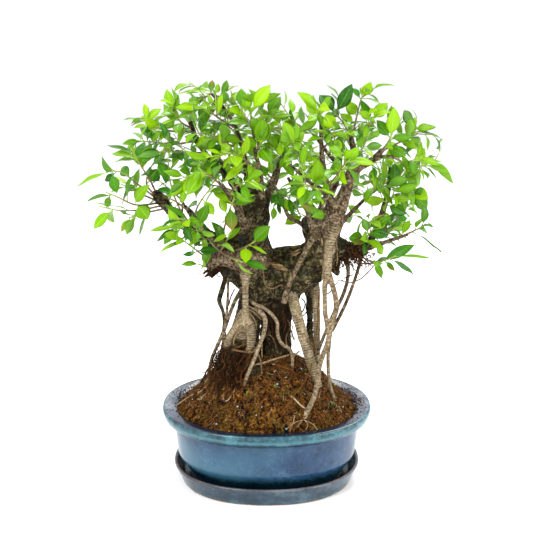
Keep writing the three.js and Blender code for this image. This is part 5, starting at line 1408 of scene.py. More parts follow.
def soil_material():
    look = Shader("soil", Roughness=0.95, Specular_IOR_Level=0.05)
    clods = look.noise(130.0, 6.0, 0.72)
    fine = look.noise(380.0, 4.0, 0.7)
    blend = look.plus(look.times(clods, 0.45), look.times(fine, 0.55))
    colour = look.ramp(blend, (0.41, (0.004, 0.002, 0.001)), (0.465, (0.034, 0.014, 0.003)),
                       (0.525, (0.125, 0.046, 0.006)), (0.60, (0.33, 0.155, 0.035)))
    moss = look.times(look.span(look.noise(42.0, 3.0), 0.5, 0.6), look.span(fine, 0.42, 0.58))
    colour = look.mix(look.times(moss, 0.7), colour, (0.105, 0.085, 0.012))
    # Painted shade: near black in the soil's hollows.
    colour = look.mix(look.value("crack"), colour, (0.006, 0.003, 0.002))
    look.set("Base Color", colour)
    look.bump(look.plus(fine, look.noise(1800.0, 3.0)), 0.9, 0.0016)
    return look.material


def plain_material(name, dark, light, scale, roughness, depth=0.0004):
    """A small thing's colour, varied by fine noise between two tones."""
    look = Shader(name, Roughness=roughness)
    grain = look.noise(scale, 4.0)
    look.set("Base Color", look.ramp(grain, (0.35, dark), (0.65, light)))
    look.bump(grain, 0.5, depth)
    return look.material


# ---- oval ware ----

def half_depth(half_width, offset):
    return half_width - offset * np.minimum(1, half_width / FULL_OFFSET_RADIUS)


def oval_points(half_width, offset, angles):
    bulge = 2 / OVAL_POWER
    c, s = np.cos(angles), np.sin(angles)
    x = half_width * np.sign(c) * np.abs(c) ** bulge
    y = half_depth(half_width, offset) * np.sign(s) * np.abs(s) ** bulge
    return np.stack([x, y], -1)


def even_profile(profile, spacing):
    """Rounds a profile of [half width, height] pairs into steps of the given size."""
    rows = [[half, 0.0, height] for half, height in profile]
    path = Path(rows)
    steps = int(path.length() / spacing)
    dense = path.at(np.linspace(0, 1, 12 * steps))
    run = np.concatenate([[0], np.cumsum(np.linalg.norm(np.diff(dense, axis=0), axis=1))])
    even = np.linspace(0, run[-1], steps)
    return np.stack([np.interp(even, run, dense[:, k]) for k in (0, 2)], 1)


def oval_rings(profile, offset, angles):
    """A ring of points for each [half width, height] pair of a profile."""
    return [np.column_stack([oval_points(half, offset, angles), np.full(len(angles), height)])
            for half, height in profile]


def oval_turning(name, profile, offset, material, slot, sides, attributes_at):
    """A closed piece turned round the oval from a profile, with a slightly uneven skin."""
    rows = even_profile(profile, PROFILE_SPACING)
    angles = np.linspace(0, 2 * math.pi, sides, endpoint=False)
    points = np.vstack(oval_rings(rows, offset, angles))
    wobble = noise(points, 60.0, 4) * 0.35 + noise(points, 16.0, 5) * 0.12
    points = points + unit(points * [1, 1, 0]) * wobble[:, None]
    faces = closed_faces(len(rows), sides)
    points = np.vstack([points, [[0, 0, rows[0][1]], [0, 0, rows[-1][1]]]])
    distance = np.concatenate([np.repeat(np.arange(len(rows)) / len(rows), sides), [0, 1]])
    build = Build("rim", "teal", "deep", "green", "bare", "cloud")
    build.add(points, faces, **attributes_at(points, distance))
    return build.piece(name, material, slot)


def make_tray():
    base, lip, top = TRAY_BASE_HALF, TRAY_LIP_HALF, TRAY_LIP_TOP
    profile = [
        [1, 0.3], [60, 0.2], [base - 2, 0], [base + 1.5, 1.2], [base + 3.4, 5], [base + 7, 14],
        [base + 10.5, 22], [lip - 1.2, 26], [lip - 0.2, 28], [lip - 0.8, 29.6], [lip - 2.5, top],
        [lip - 4.3, 29.2], [base + 6, 23], [base + 2.5, 15], [base, 10], [base - 6, TRAY_FLOOR_TOP],
        [60, TRAY_FLOOR_TOP], [1, TRAY_FLOOR_TOP],
    ]

    def attributes(points, distance):
        z = points[:, 2]
        uneven = noise(points, 22.0, 9)
        outside = distance < 0.55
        return {
            "rim": 0.35 * smooth_step(26, 28.5, z) * outside,
            "teal": np.where(outside, 0.45 * smooth_step(9, 5, z + uneven), 0.8),
            # Painted shade on the inside of the tray under the pot, and darker towards the bottom outside.
            "deep": 0.75 * (1 - outside) + 0.45 * outside * smooth_step(5, 1, z + uneven),
            "green": np.zeros(len(points)),
            "cloud": np.zeros(len(points)),
            "bare": np.maximum(smooth_step(2.6, 1.8, z + 0.8 * uneven) * outside,
                               0.55 * np.exp(-(((z + 0.4 * uneven - 29.6) / 0.45) ** 2)) * outside),
        }

    piece = oval_turning("drip_tray_glazed", profile, TRAY_OFFSET, glaze_material("tray_glaze", TRAY_GLAZE),
                         "glaze_tray", TRAY_SIDES, attributes)
    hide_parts("drip_tray")


# The share of the pot's profile at which the rim turns inwards.
POT_TOP_FROM = 0.515


def make_pot():
    profile = [
        [1, 13], [60, 13], [96.5, 13], [98.2, 11.5], [99, 8.4], [101, 8], [109, 8], [111.2, 8.8],
        [112.4, 12], [114, 17], [116.5, 23], [120, 29.5], [124.4, 35.5], [127.6, 41], [129, 46],
        [130, 55], [131.5, 69], [133, 82], [134.2, 90.5], [136, 92.2], [140.5, 94.6], [145, 97.6],
        [147.6, 100.4], [148.8, 103.5], [149.9, 108], [149.9, 111.4], [149, 113.4], [146.5, 114.1],
        [141, 113.4], [134, 112], [130.6, 111.1], [129, 110], [128.2, 107.5], [126.8, 100], [125, 88],
        [122, 69], [119, 46], [113, 31], [102, 21.3], [98, 20.4], [60, 20.4], [1, 20.4],
    ]

    def attributes(points, distance):
        z = points[:, 2]
        uneven = noise(points, 26.0, 11) + 0.5 * noise(points, 7.0, 12)
        outside = distance < POT_TOP_FROM
        top = (distance >= POT_TOP_FROM) * smooth_step(96, 106, z)
        lip = smooth_step(98, 101, z)
        under = smooth_step(90.8, 92.4, z) * (1 - smooth_step(97.5, 100, z))
        foot = smooth_step(37, 29, z + 2.5 * uneven)
        # The pot's low wall stands inside the tray, and is painted with shade.
        shaded_low_wall = smooth_step(38, 24, z + 2.5 * uneven)
        sideways = smooth_step(0.72, 0.98, np.abs(points[:, 0]) / RIM_HALF)
        return {
            "rim": top * (0.2 + 0.8 * sideways),
            "teal": np.maximum.reduce([0.9 * lip * outside, under * outside, 0.95 * foot * outside]),
            # Painted shade under the lip and on the low wall, and a darker rim top towards the front and
            # back.
            "deep": np.maximum.reduce([0.75 * under * outside, 0.9 * shaded_low_wall * outside,
                                       0.85 * top * (1 - sideways)]),
            "green": 0.75 * np.exp(-(((z + 0.8 * uneven - 104.2) / 2.1) ** 2)) * outside,
            "bare": 0.6 * np.exp(-(((z + 0.3 * uneven - 112.2) / 0.5) ** 2)) * outside
                    + smooth_step(9.6, 8.6, z),
            # Lighter clouds in the glaze, with painted light that grows towards the lower left of the body.
            "cloud": np.clip(0.5 * smooth_step(30, -110, points[:, 0]) * smooth_step(92, 50, z)
                             + 0.35 * noise(points, 48.0, 14), 0, 0.75) * outside,
        }

    piece = oval_turning("pot_glazed", profile, POT_OFFSET, glaze_material("pot_glaze", POT_GLAZE),
                         "glaze_pot", POT_SIDES, attributes)
    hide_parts("pot")


def finish_screens():
    plastic = plain_material("screen_plastic", (0.012, 0.012, 0.012), (0.03, 0.03, 0.03), 900.0, 0.6)
    for name in ("drain_screen_left", "drain_screen_right"):
        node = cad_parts[name]
        node.data.materials.clear()
        node.data.materials.append(plastic)


# ---- soil ----

def mound_height(x, y):
    depth = half_depth(SOIL_HALF, POT_OFFSET)
    across, away = np.abs(x / SOIL_HALF), np.abs(y / depth)
    reach = np.minimum(1, (across**OVAL_POWER + away**OVAL_POWER) ** (1 / OVAL_POWER))
    bank = BANK_RISE * (1 - reach**BANK_POWER)
    crown = CROWN_RISE * np.exp(-(((x / CROWN_HALF_X) ** 2 + (y / CROWN_HALF_Y) ** 2) ** CROWN_POWER))
    waves = np.sin(0.13 * x + 1.1) * np.sin(0.17 * y + 0.4) + np.sin(0.31 * x - 0.23 * y)
    return SOIL_EDGE + bank + crown + 0.5 * SOIL_RELIEF * waves


def soil_surface(x, y):
    """Height of the finished soil, and how far down in a hollow the place is."""
    flat = np.column_stack([x, y, np.zeros(len(x))])
    grit = noise(flat, 3.6, 35)
    rough = noise(flat, 22.0, 33) * 1.5 + noise(flat, 9.0, 34) * 1.3 + grit + noise(flat, 1.9, 37) * 0.6
    hollow = smooth_step(0.15, 0.7, -grit - 0.4 * noise(flat, 8.0, 38))
    return mound_height(x, y) + rough - 0.8 * hollow - 0.5, hollow


def on_soil(x, y, lift=0.0):
    return np.column_stack([x, y, soil_surface(x, y)[0] + lift])


def make_soil():
    angles = np.linspace(0, 2 * math.pi, SOIL_SIDES, endpoint=False)
    shares = np.linspace(0.004, 1, SOIL_RINGS) ** 0.8
    points, hollows = [], []
    for share in shares[::-1]:
        flat = oval_points(share * (SOIL_HALF - 0.2), POT_OFFSET, angles)
        height, hollow = soil_surface(flat[:, 0], flat[:, 1])
        points.append(np.column_stack([flat, height]))
        hollows.append(hollow)
    wall = [[126.0, 96.0], [119.0, 46.0], [112.0, 31.0], [100.5, SOIL_BOTTOM], [1.0, SOIL_BOTTOM]]
    below = oval_rings(wall[::-1], POT_OFFSET, angles)
    spots = np.vstack(below + points)
    faces = closed_faces(len(below) + SOIL_RINGS, SOIL_SIDES)
    spots = np.vstack([spots, [[0, 0, SOIL_BOTTOM], spots[-SOIL_SIDES:].mean(0)]])
    # The hollows carry painted shade: the soil's colour goes near black in them.
    build = Build("crack")
    build.add(spots, faces, crack=np.concatenate([np.zeros(len(below) * SOIL_SIDES), *hollows, [0, 0]]))
    piece = build.piece("soil_surface", soil_material(), "soil")
    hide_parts("soil")


def soil_spots(chance, count, widest):
    """Places spread evenly over the soil, out to a share of its half width, as x and y."""
    share = np.sqrt(chance.uniform(0, 1, count)) * widest
    angle = chance.uniform(0, 2 * math.pi, count)
    return (share[:, None] * oval_points(SOIL_HALF, POT_OFFSET, angle)).T


def rim_spots(chance, count):
    """Places on top of the pot's rim, most of them at the right and at the left rear."""
    angle = np.where(chance.uniform(0, 1, count) < 0.6, chance.normal(0.15, 0.35, count),
                     chance.normal(2.6, 0.4, count))
    half = RIM_INNER_HALF + 1 + (RIM_HALF - RIM_INNER_HALF - 6) * chance.uniform(0, 1, count) ** 1.7
    flat = oval_points(half, POT_OFFSET, angle)
    return np.column_stack([flat, RIM_INNER_TOP + (half - RIM_INNER_HALF) * RIM_SLOPE])


def soil_fibres(chance, count, length, radius, lift):
    """Curved fibres that lie on the soil, some with an end in the air."""
    places = 6
    x, y = soil_spots(chance, count, 0.93)
    heading = chance.uniform(0, 2 * math.pi, count)
    bend = chance.normal(0, 0.25, count)
    step = chance.uniform(*length, count) / (places - 1)
    xs, ys = [x], [y]
    for _ in range(places - 1):
        xs.append(xs[-1] + step * np.cos(heading))
        ys.append(ys[-1] + step * np.sin(heading))
        heading = heading + bend + chance.normal(0, 0.18, count)
    xs, ys = np.array(xs).T, np.array(ys).T
    height = soil_surface(xs.ravel(), ys.ravel())[0].reshape(count, places)
    rise = chance.uniform(0.1, 1.0, (count, 1))
    rise = rise + np.abs(chance.normal(0, lift, (count, 1))) * np.linspace(0, 1, places)
    lines = np.stack([xs, ys, height * 0.5 + height.mean(1, keepdims=True) * 0.5 + rise], 2)
    lines[..., 2] = np.maximum(lines[..., 2], height - 0.3)
    radii = chance.uniform(*radius, (count, 1)) * np.linspace(1.0, 0.6, places)
    return lines, radii


# Fibres: how many, their lengths and radii, how far an end lifts, and their tones.
FIBRES = (
    (1500, (5, 15), (0.25, 0.5), 0.6, (0.05, 0.48)),
    (900, (6, 18), (0.35, 0.6), 1.0, (0.32, 0.55)),
    (110, (8, 24), (0.4, 0.7), 0.8, (0.6, 0.95)),
)
# Crumbs on the soil: how many, and their half sizes.
CRUMBS = ((1500, (0.6, 1.9)), (620, (1.2, 2.8)))
CHIP_COUNT = 110
RIM_CRUMB_COUNT = 520
PERLITE_COUNT = 46
SPROUT_COUNT = 22


def crumb_sizes(chance, count, sizes):
    return chance.uniform(*sizes, (count, 1)) * chance.uniform(0.6, 1.1, (count, 3))


def make_litter(chance):
    """Fibres, crumbs and chips of bark on the soil, and crumbs on the rim."""
    build = Build("tone", "ring")
    for count, length, radius, lift, tones in FIBRES:
        lines, radii = soil_fibres(chance, count, length, radius, lift)
        add_strands(build, chance, lines, radii, 4, tones)
    for count, sizes in CRUMBS:
        centres = on_soil(*soil_spots(chance, count, 0.985), 0.3)
        add_lumps(build, chance, centres, crumb_sizes(chance, count, sizes), (0.0, 0.5))
    centres = on_soil(*soil_spots(chance, CHIP_COUNT, 0.93), 0.6)
    sizes = [chance.uniform(low, high, CHIP_COUNT) for low, high in ((2, 6), (0.8, 2.0), (0.3, 0.7))]
    add_lumps(build, chance, centres, np.column_stack(sizes), (0.5, 0.95), 0.5)
    centres = rim_spots(chance, RIM_CRUMB_COUNT)
    add_lumps(build, chance, centres, crumb_sizes(chance, RIM_CRUMB_COUNT, (0.35, 1.7)), (0.0, 0.42))
    build.piece("soil_litter", litter_material(), "soil")


def make_grains(chance, name, centres, sizes, material):
    points, faces = small_lumps(centres, sizes, chance)
    build = Build()
    build.add(points, faces)
    build.piece(name, material, "soil")


def make_soil_cover():
    """What lies on the soil: fibres, crumbs, chips of bark, perlite, granules and a few sprouts."""
    chance = np.random.default_rng(LITTER_SEED)
    make_litter(chance)
    centres = on_soil(*soil_spots(chance, PERLITE_COUNT, 0.95), 0.5)
    sizes = chance.uniform(0.4, 1.1, (PERLITE_COUNT, 1)) * chance.uniform(0.7, 1.1, (PERLITE_COUNT, 3))
    white = plain_material("perlite", (0.42, 0.40, 0.36), (0.75, 0.74, 0.70), 600.0, 0.8)
    make_grains(chance, "perlite", centres, sizes, white)
    centres = on_soil(*np.array(GRANULES, float).T, 0.9)
    blue = plain_material("granule_blue", (0.12, 0.48, 0.60), (0.35, 0.78, 0.88), 500.0, 0.55)
    make_grains(chance, "blue_granules", centres, chance.uniform(1.0, 1.8, (len(GRANULES), 3)), blue)
    make_sprouts(chance)


def make_sprouts(chance):
    """Seedlings of three tiny leaves on the soil."""
    count = SPROUT_COUNT
    build = Build()
    feet = on_soil(*soil_spots(chance, count, 0.9))
    heights = chance.uniform(2.0, 5.0, count)
    tops = feet + np.column_stack([chance.normal(0, 1, (count, 2)), heights])
    lines = wander(feet, tops, chance, 4, 0.3)
    points, faces = strands(lines, np.full((count, 4), 0.3), 4)
    build.add(points, faces)
    for _ in range(3):
        turn = chance.uniform(0, 2 * math.pi, count)
        middle = tops + np.column_stack([np.cos(turn), np.sin(turn), np.full(count, 0.3)]) * 1.2
        long_half, wide_half = chance.uniform(0.9, 1.7, count), chance.uniform(0.6, 1.0, count)
        sizes = np.column_stack([long_half, wide_half, np.full(count, 0.25)])
        points, faces = small_lumps(middle, sizes, chance, 0.4)
        build.add(points, faces)
    look = plain_material("sprout", (0.10, 0.30, 0.01), (0.28, 0.58, 0.03), 700.0, 0.5)
    build.piece("sprouts", look, "soil")


# ---- wood ----

def lump(p):
    x, y, z = p[:, 0], p[:, 1], p[:, 2]
    coarse = np.sin(0.083 * x + 0.7) * np.sin(0.071 * z + 1.9) + np.sin(0.09 * y + 0.047 * z)
    fine = np.sin(0.21 * x + 0.13 * z) * np.sin(0.19 * y - 0.17 * z + 2.2)
    return 0.4 * coarse + 0.5 * fine


def lump_share(radius):
    return LUMP_SIZE * np.clip((radius - LUMP_MIN_RADIUS) / LUMP_MIN_RADIUS, 0, 1)


def limb_swell(spots, radius):
    return radius * (1 + lump_share(radius) * lump(spots))


def limb_samples(rows):
    """Centres, radii and kinds of bark of places along all the limbs."""
    centres, radii, kinds = [], [], []
    for kind, *points in rows:
        path = Path(points)
        shares = np.linspace(0, 1, int(math.ceil(path.length() / SAMPLE_SPACING)) + 1)
        centres.append(path.at(shares))
        radii.append(radii_at(points, shares))
        kinds.append(np.full(len(shares), KINDS.index(kind)))
    return np.vstack(centres), np.concatenate(radii), np.concatenate(kinds)


def bark_shares(spots, rows):
    """The share of each kind of bark for each place on the wood."""
    centres, radii, kinds = limb_samples(rows)
    shares = np.zeros((len(spots), len(KINDS)))
    for start in range(0, len(spots), WOOD_BATCH):
        part = spots[start:start + WOOD_BATCH]
        gap = np.sqrt(((part[:, None] - centres[None]) ** 2).sum(2)) - radii[None]
        best = np.stack([
            gap[:, kinds == k].min(1) if (kinds == k).any() else np.full(len(part), 99.0)
            for k in range(len(KINDS))
        ], 1)
        best += noise(part, 5.0, 48)[:, None] * [0.9, 0, -0.9, 0, 0]
        weight = np.exp(-(best - best.min(1, keepdims=True)) / 1.3)
        shares[start:start + WOOD_BATCH] = weight / weight.sum(1, keepdims=True)
    return shares


def ridge(spots, size, seed, low, high):
    """1 on thin wandering lines and 0 away from them."""
    return smooth_step(low, high, 1 - np.abs(noise(spots, size, seed)))


def skin_relief(spots, shares):
    """How far the bark of thick wood stands out at each place, its cracks and flecks, and the painted shade
    in its sunken places, in the hollow between the trunks and on the root ball.
    """
    dark, grey, pale, tan, dead = shares.T
    bent = spots * [1, 1, 0.6] + np.stack([noise(spots, 9.0, 50 + k) for k in range(3)], 1) * 2.4
    fissure = ridge(bent, 8.5, 41, 0.84, 0.98)
    small = ridge(bent, 3.6, 44, 0.84, 0.99)
    coarse = noise(spots, 26.0, 61) * 1.6 + noise(spots, 12.0, 62) * 1.1 + noise(spots, 5.0, 63) * 0.8
    fine = noise(spots, 2.5, 64)
    dark_relief = coarse + 0.5 + 0.45 * fine - 1.2 * fissure - 0.45 * small
    other_relief = 0.5 * noise(spots, 11.0, 69) + 0.3 * noise(spots, 4.0, 70) - 0.75
    torn = spots * [0.3, 1, 1]
    dead_relief = 1.6 * noise(torn, 5.0, 71) + 1.0 * noise(torn, 2.4, 72)
    relief = dark * dark_relief + (grey + pale + tan) * other_relief + dead * dead_relief
    flecks = smooth_step(0.3, 0.62, noise(spots, 4.2, 47)) * smooth_step(-0.3, 0.3, noise(spots, 17.0, 49))
    # Painted shade: the dark bark's colour darkens where its relief sinks.
    sunk = smooth_step(0.15, 0.95, -0.9 * noise(spots, 5.0, 63) - 0.5 * fine)
    from_shade_place = np.min([np.linalg.norm((spots - centre) / np.array(half), axis=1)
                          for centre, half in PAINTED_SHADE_PLACES], 0)
    # Painted shade, near black, in the hollow between the trunks and over the root ball at the left.
    shadow = 0.9 * smooth_step(1.25, 0.7, from_shade_place + 0.25 * noise(spots, 12.0, 77))
    painted_shade_in_hollows = 0.75 * (dark + 0.5 * grey) * sunk
    # Cracks and painted shade go into one value that darkens the colour.
    crack = np.maximum.reduce([dark * fissure, 0.6 * dark * small, painted_shade_in_hollows, shadow])
    return relief, crack, flecks * (1 - shadow)


BARK_KEYS = ("pale", "grey", "dead", "crack", "tint", "moss")


def bark_values(normals, shares, crack, tint):
    dark, grey, pale, tan, dead = shares.T
    moss = np.clip(0.3 + 0.7 * np.clip(normals[:, 2], 0, 1), 0, 1) * dark * np.clip(1 - crack, 0, 1)
    return {"pale": np.clip(pale + 0.5 * tan, 0, 1), "grey": np.clip(grey + tan, 0, 1), "dead": dead,
            "crack": np.clip(crack, 0, 1), "tint": tint, "moss": moss}


def mesh_arrays(mesh):
    spots = np.empty(3 * len(mesh.vertices))
    mesh.vertices.foreach_get("co", spots)
    normals = np.empty(3 * len(mesh.vertices))
    mesh.vertices.foreach_get("normal", normals)
    return spots.reshape(-1, 3) / MM, normals.reshape(-1, 3)


def fused_mesh(name, rows):
    """One skin round all the limbs, with its joints rounded."""
    build = Build()
    for _, *points in rows:
        spots, faces, *_ = tube(points, 24, 4.0, limb_swell)
        build.add(spots, faces)
    rough = bpy.data.meshes.new(name + "_rough")
    rough.from_pydata((np.vstack(build.points) * MM).tolist(), [], build.faces)
    carrier = bpy.data.objects.new(name + "_rough", rough)
    bpy.context.scene.collection.objects.link(carrier)
    remesh = carrier.modifiers.new("skin", "REMESH")
    remesh.mode = "VOXEL"
    remesh.voxel_size = SKIN_VOXEL * MM
    even = carrier.modifiers.new("even", "SMOOTH")
    even.factor = 0.5
    even.iterations = SKIN_SMOOTHING
    graph = bpy.context.evaluated_depsgraph_get()
    mesh = bpy.data.meshes.new_from_object(carrier.evaluated_get(graph))
    bpy.data.objects.remove(carrier)
    bpy.data.meshes.remove(rough)
    return mesh


def make_trunk(rows, all_rows, material):
    mesh = fused_mesh("trunk", rows)
    spots, normals = mesh_arrays(mesh)
    shares = bark_shares(spots, all_rows)
    relief, crack, tint = skin_relief(spots, shares)
    mesh.vertices.foreach_set("co", ((spots + normals * relief[:, None]) * MM).ravel())
    mesh.update()
    add_values(mesh, bark_values(normals, shares, crack, tint))
    trunk = finish_piece("trunk_and_limbs", mesh, material)
    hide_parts("tree")


# How strongly each kind of bark is ringed, and how rough it is.
RINGED = {"pale": 1.0, "tan": 0.6, "grey": 0.45, "dark": 0.15, "dead": 0.0}
ROUGH = {"pale": 0.35, "tan": 0.6, "grey": 0.6, "dark": 1.0, "dead": 1.0}


def add_limb(build, row, sides, spacing):
    """The ringed bark of one root or limb, as a finely divided tube of its own."""
    kind, *points = row
    spots, faces, run, radius, centres = tube(points, sides, spacing, limb_swell)
    outward = unit(spots - centres)
    shares = np.zeros((len(spots), len(KINDS)))
    shares[:, KINDS.index(kind)] = 1
    if kind == "grey":
        shares[:, KINDS.index("grey")] = 0.66 + 0.34 * smooth_step(6, 10, radius)
        shares[:, KINDS.index("dark")] = 1 - shares[:, KINDS.index("grey")]
    size = np.clip(radius / 8.0, 0.16, 1.0)
    uneven_run = run + 1.1 * noise(spots, 8.0, 66) + 0.8 * noise(spots, 19.0, 67)
    wave = np.sin(uneven_run * 2 * math.pi / 3.4)
    broad = np.sin(uneven_run * 2 * math.pi / 9.3 + 1.0)
    patch = 0.35 + 0.65 * smooth_step(-0.4, 0.1, noise(spots, 10.0, 73))
    groove = smooth_step(0.0, 0.8, wave) * patch
    flutes = noise(outward * 9.0 + (run / 16.0)[:, None] * [0, 0, 1], 4.0, 65)
    ringed, rough = RINGED[kind], ROUGH[kind]
    relief = (0.55 * noise(spots, 13.0, 68) + 0.4 * flutes + 0.35 * rough * noise(spots, 4.0, 70)
              + 0.4 * rough * noise(spots, 2.2, 74) + 0.2 * broad * ringed)
    spots = spots + outward * (size * relief - np.sqrt(size) * 0.55 * groove * ringed)[:, None]
    flecks = smooth_step(0.3, 0.62, noise(spots, 4.2, 47))
    crack = 0.8 * groove * ringed + 0.6 * rough * ridge(spots, 5.0, 76, 0.86, 0.99)
    build.add(spots, faces, **bark_values(outward, shares, crack * np.sqrt(size), flecks))


def widest_radius(row):
    return max(point[3] for point in row[1:])


def make_wood():
    material = bark_material()
    rows = [*WOOD.values(), *TWIGS.values()]
    thick = [row for row in rows if widest_radius(row) > THIN_LIMB_RADIUS]
    thin = [row for row in rows if widest_radius(row) <= THIN_LIMB_RADIUS]
    make_trunk(thick, rows, material)
    sleeves = Build(*BARK_KEYS)
    for row in thick:
        if row[0] in ("pale", "grey", "tan"):
            add_limb(sleeves, row, int(np.clip(4 * widest_radius(row), 18, 40)), 0.85)
    sleeves.piece("ringed_roots_and_limbs", material, "bark")
    twigs = Build(*BARK_KEYS)
    for row in thin:
        add_limb(twigs, row, 14, 1.0)
    twigs.piece("slim_roots_and_twigs", material, "bark")


ROOT_TONES = {"dark": 0.14, "rust": 0.38, "grey": 0.58, "tan": 0.68, "straw": 0.8, "pale": 0.75}


def add_hair(build, chance, starts, ends, places, sway, radius, tones):
    """A bundle of fine roots between two sets of places."""
    count = len(starts)
    lines = wander(starts, ends, chance, places, sway)
    radii = chance.uniform(*radius, (count, 1)) * np.linspace(1.0, 0.65, places)
    add_strands(build, chance, lines, radii, 4, tones)


def add_seen_roots(build):
    """The single fine roots that the photograph shows."""
    for look, radius, *spots_seen in FINE_ROOTS_SEEN.values():
        path = Path([from_view(spot, 1) for spot in spots_seen])
        count = max(8, int(path.length() / 0.9))
        shares = np.linspace(0, 1, count)
        line = path.at(shares)
        line = line + np.stack([noise(line, 9.0, 90 + k) for k in range(3)], 1) * 0.5
        wave = np.sin(shares * path.length() * 2 * math.pi / 2.6)
        ring = smooth_step(0.4, 1.0, wave)
        uneven = 1 + 0.14 * noise(line, 3.0, 93) - 0.1 * ring
        taper = np.minimum(1, np.minimum(shares + 0.08, 1.08 - shares) * 5)
        spots, faces = strands(line[None], (radius * uneven * taper)[None], 8)
        ringed = np.repeat(ring * (look in ("pale", "tan", "grey")), 8)
        build.add(spots, faces, tone=ROOT_TONES[look], ring=ringed)


def add_ball_hair(build, chance, count):
    """Hair round the root ball at the left."""
    turn, rise = chance.uniform(-2.9, 0.5, count), chance.uniform(0, 1, count)
    outward = np.column_stack([np.cos(turn), np.sin(turn), np.zeros(count)])
    middle = np.column_stack([-56 + 6 * rise, -27 + 2 * rise, 172 + 40 * rise])
    starts = middle + outward * (22 - 10 * rise)[:, None]
    ends = starts + chance.normal(0, 5, (count, 3)) + 5 * outward
    ends[:, 2] -= chance.uniform(8, 26, count)
    add_hair(build, chance, starts, ends, 7, 3.4, (0.3, 0.9), (0.0, 0.34))


def add_mat(build, chance, count):
    """A mat that hangs from the trunks over the front of the root balls."""
    across, down = chance.uniform(0, 1, (count, 1)), chance.uniform(-0.1, 0.85, (count, 1))
    top = np.array([-64.0, -24, 205]) + across * [48.0, -15, 3]
    low = np.array([-84.0, -27, 168]) + across * [60.0, -30, -2]
    starts = top + down * (low - top) + chance.normal(0, 2.2, (count, 3))
    ends = starts + (low - top) * chance.uniform(0.25, 0.6, (count, 1))
    ends = ends + chance.normal(0, 6, (count, 3)) * [1, 0.5, 0.8]
    ends[:, 2] = np.maximum(ends[:, 2], mound_height(ends[:, 0], ends[:, 1]) - 1)
    add_hair(build, chance, starts, ends, 6, 3.0, (0.3, 0.75), (0.0, 0.4))


def add_hollow_hair(build, chance, count):
    """Long hair that hangs in the hollow between the trunks, in near-black tones that are partly its own
    colour and partly painted shade of the hollow.
    """
    starts = np.column_stack([chance.uniform(-8, 34, count), chance.uniform(-12, -3, count),
                              chance.uniform(232, 272, count)])
    ends = starts + np.column_stack([chance.normal(2, 9, count), chance.uniform(-22, -4, count),
                                     -chance.uniform(22, 62, count)])
    ends[:, 2] = np.maximum(ends[:, 2], mound_height(ends[:, 0], ends[:, 1]))
    add_hair(build, chance, starts, ends, 9, 4.0, (0.25, 0.6), (0.0, 0.3))


def add_tuft(build, chance, count, squash, lean, middle, size, reach, sway, radius, tones):
    """A tuft of hairs in all directions, most of them the way it leans."""
    way = unit(chance.normal(0, 1, (count, 3)) * squash + lean)
    feet = np.array(middle) + chance.normal(0, 1, (count, 3)) * size
    tops = feet + way * chance.uniform(*reach, (count, 1))
    add_hair(build, chance, feet, tops, 6, sway, radius, tones)


def add_soil_hair(build, chance, count):
    """Short hair that stands out of the soil in front of the trunks."""
    x, y = chance.uniform(-70, 100, count), chance.uniform(-60, -20, count)
    feet = np.column_stack([x, y, mound_height(x, y) - 1])
    tops = feet + np.column_stack([chance.normal(0, 6, count), chance.uniform(2, 14, count),
                                   chance.uniform(4, 20, count)])
    add_hair(build, chance, feet, tops, 6, 1.6, (0.25, 0.6), (0.08, 0.6))


def make_fine_roots():
    """Single fine roots where the photograph shows them, and mats of hair-like ones."""
    build = Build("tone", "ring")
    add_seen_roots(build)
    chance = np.random.default_rng(FINE_ROOT_SEED)
    add_ball_hair(build, chance, 170)
    add_mat(build, chance, 420)
    add_hollow_hair(build, chance, 30)
    add_tuft(build, chance, 230, (1, 1, 1), (0.25, -0.35, -0.15), (116.0, 2.0, 338.0), (13, 8, 9),
             (9, 25), 1.3, (0.35, 0.9), (0.0, 0.36))
    add_tuft(build, chance, 44, (1, 0.6, 0.8), (-0.5, -0.5, -0.3), (-62.0, -20.0, 322.0), (12, 6, 6),
             (5, 12), 1.0, (0.35, 0.85), (0.02, 0.3))
    add_soil_hair(build, chance, 120)
    build.piece("fine_roots", litter_material(), "bark")


def make_torn_wood():
    """Splintered pale wood on the bridge between the trunks and at the end of the left stub."""
    chance = np.random.default_rng(TORN_WOOD_SEED)
    build = Build("tone", "ring")
    # Start, end, radius, number of splinters, how far they spread, and their tones.
    for start, end, width, count, spread, tones in (
        ((8, -14, 326), (32, -19, 318), 1.7, 22, (2.2, 2.5, 2.2), (0.42, 0.78)),
        ((34, -9, 340), (48, -11, 343), 1.5, 12, (2.0, 2.2, 2.2), (0.42, 0.78)),
        ((-20, -10, 322), (4, -16, 330), 1.3, 12, (2.0, 2.5, 2.5), (0.4, 0.7)),
        ((-66, -18, 324), (-79, -20, 312), 2.6, 16, (3.4, 3.0, 2.6), (0.06, 0.3)),
    ):
        starts = np.array(start, float) + chance.normal(0, 1, (count, 3)) * spread
        ends = np.array(end, float) + chance.normal(0, 1, (count, 3)) * spread
        lines = wander(starts, ends, chance, 8, 1.2)
        thickness = 0.15 + np.sin(np.pi * np.clip(np.linspace(0, 1, 8), 0.05, 0.95))
        radii = width * chance.uniform(0.5, 1.1, (count, 1)) * thickness
        add_strands(build, chance, lines, radii, 5, tones)
    build.piece("torn_wood", litter_material(), "bark", smooth=False)


# ---- leaves ----

def make_leaf(foot, along, hint, length, width, stalk_shift, droop=LEAF_DROOP):
    """stalk_shift leads from the foot to the smooth shoot that the finished stalk grows from."""
    along = unit(along)
    face = unit(hint - along * (hint @ along))
    return {"foot": foot, "along": along, "face": face, "across": np.cross(along, face),
            "length": length, "width": width, "stalk_shift": stalk_shift, "droop": droop}


